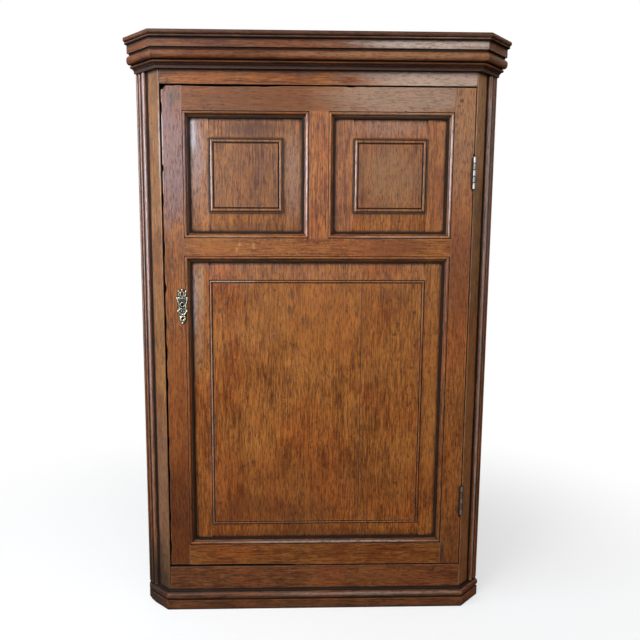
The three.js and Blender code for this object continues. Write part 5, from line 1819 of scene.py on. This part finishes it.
@dataclass
class Studio:
    """Floor, backdrop, lamps and camera.

    Attributes:
        lamps: The lamps.
        room: How bright the room is.
        floor_size: The floor's side.
        floor_drop: How far it lies under the cupboard, so that their faces don't meet.
        floor_fade: How far from the cupboard the floor starts and ends to fade.
        camera_place: Where the camera stands.
        camera_turn: Its yaw, pitch and roll.
        sensor_width: Its film's width in millimetres.
        focal_length: Its lens in millimetres.
        shift: How far its view is shifted.
    """

    lamps: tuple[Lamp, ...] = (
        Lamp("key_lamp", (-1.15, -1.65, 2.25), (0.0, -0.1, 0.7), 0.9, 0.9, 34.0, (1.0, 0.98, 0.95)),
        Lamp("window_lamp", (-0.95, -3.0, 1.35), (0.0, -0.1, 0.9), 0.6, 0.55, 17.0, (0.72, 0.86, 1.0)),
        Lamp("glint_lamp", (-1.6, -0.9, 1.05), (0.0, -0.18, 0.9), 0.5, 1.5, 36.0, (0.8, 0.89, 1.0), True),
        Lamp("side_lamp", (-1.95, -0.95, 1.2), (0.0, -0.15, 0.75), 1.2, 1.3, 30.0, (0.82, 0.91, 1.0)),
        Lamp("wall_lamp", (0.2, -3.0, 1.2), (0.0, -0.1, 0.9), 1.5, 0.5, 4.5, (0.9, 0.95, 1.0)),
        Lamp("right_lamp", (0.82, -3.0, 1.8), (0.0, -0.1, 0.9), 0.75, 0.65, 8.0, (0.88, 0.95, 1.0)),
        Lamp("far_lamp", (1.9, -1.9, 1.0), (0.0, -0.1, 0.6), 0.8, 1.2, 9.0, (1.0, 0.97, 0.93)),
    )
    room: float = 0.38
    floor_size: float = 24.0
    floor_drop: float = 0.0005
    floor_fade: tuple[float, float] = (0.4, 1.3)
    camera_place: Triple = (-0.0902, -1.4592, 0.7422)
    camera_turn: Triple = (-0.0281, -0.1351, -0.0025)
    sensor_width: float = 36.0
    focal_length: float = 36.585
    shift: tuple[float, float] = (0.0469, 0.0281)

    def build(self) -> None:
        """Set up the whole studio."""
        for lamp in self.lamps:
            lamp.build()
        self.build_floor()
        self.light_room()
        self.stand_camera()
        bpy.context.scene.view_settings.view_transform = "Standard"

    def build_floor(self) -> None:
        """Lay the pale floor, which fades into the white backdrop away from the cupboard."""
        add = bpy.ops.mesh.primitive_plane_add
        floor = primitive("studio_floor", add, size=self.floor_size, location=(0.0, 0.0, -self.floor_drop))
        made = bpy.data.materials.new("floor_paint")
        graph = Graph(made)
        flat = graph.vector("MULTIPLY", graph.place(), (1.0, 1.0, 0.0)).outputs[0]
        away = graph.step(graph.length(flat), *self.floor_fade, 0.45) + 0.55
        seen = graph.ray("Is Camera Ray").larger(graph.ray("Is Transmission Ray"))
        colour = graph.blend(rgb(0.12, 0.11, 0.1), rgb(0.94, 0.94, 0.94), seen)
        paint = graph.node("ShaderNodeBsdfDiffuse", None, {"Color": colour})
        glow = graph.node("ShaderNodeEmission", None, {"Color": rgb(1.0, 1.0, 1.0), "Strength": 1.0})
        graph.surface(graph.mixed(paint.outputs[0], glow.outputs[0], seen * away))
        floor.data.materials.append(made)

    def light_room(self) -> None:
        """Give the room an even light, and a white backdrop behind the cupboard."""
        world = bpy.data.worlds.new("studio_room")
        bpy.context.scene.world = world
        graph = Graph(world)
        direction = graph.node("ShaderNodeTexCoord").outputs["Generated"]
        seen = graph.ray("Is Camera Ray").larger(graph.ray("Is Transmission Ray"))
        glossy = graph.ray("Is Glossy Ray")
        back = glossy * graph.step(graph.part(direction, Y), 0.2, 0.6)
        above = graph.step(graph.part(direction, Z), -0.1, 0.5)
        level = (above * 0.6 + 0.55) * (1.0 - glossy * 0.6)
        dark, light = rgb(0.0, 0.0, 0.0), rgb(self.room, self.room, self.room * 1.02)
        colour = graph.blend(graph.blend(dark, light, level), rgb(1.0, 1.0, 1.0), seen.larger(back))
        ground = graph.node("ShaderNodeBackground", None, {"Color": colour, "Strength": 1.0})
        graph.node("ShaderNodeOutputWorld", None, {"Surface": ground.outputs[0]})

    def stand_camera(self) -> None:
        """Stand the camera where the photograph was taken from."""
        data = bpy.data.cameras.new("photo_camera")
        data.sensor_width = self.sensor_width
        data.lens = self.focal_length
        data.shift_x, data.shift_y = self.shift
        data.clip_start, data.clip_end = 0.05, 60.0
        camera = bpy.data.objects.new("photo_camera", data)
        yaw, pitch, roll = self.camera_turn
        turn = Matrix.Rotation(yaw, 4, "Z") @ Matrix.Rotation(pitch, 4, "X") @ Matrix.Rotation(roll, 4, "Y")
        level = Matrix.Rotation(math.pi / 2, 4, "X")
        camera.matrix_world = Matrix.Translation(self.camera_place) @ turn @ level
        bpy.context.scene.collection.objects.link(camera)
        bpy.context.scene.camera = camera


def main() -> None:
    """Build the cupboard's looks, one sub-assembly after another."""
    logging.basicConfig(level=logging.INFO, format="%(message)s")
    Studio().build()
    DoorFrame().build()
    Panels().build()
    CarcaseFront().build()
    Mouldings().build()
    Interior().build()
    Back().build()
    Nails().build()
    Hinges().build()
    KeyPlate().build()
    Lock().build()


if __name__ == "__main__":
    main()
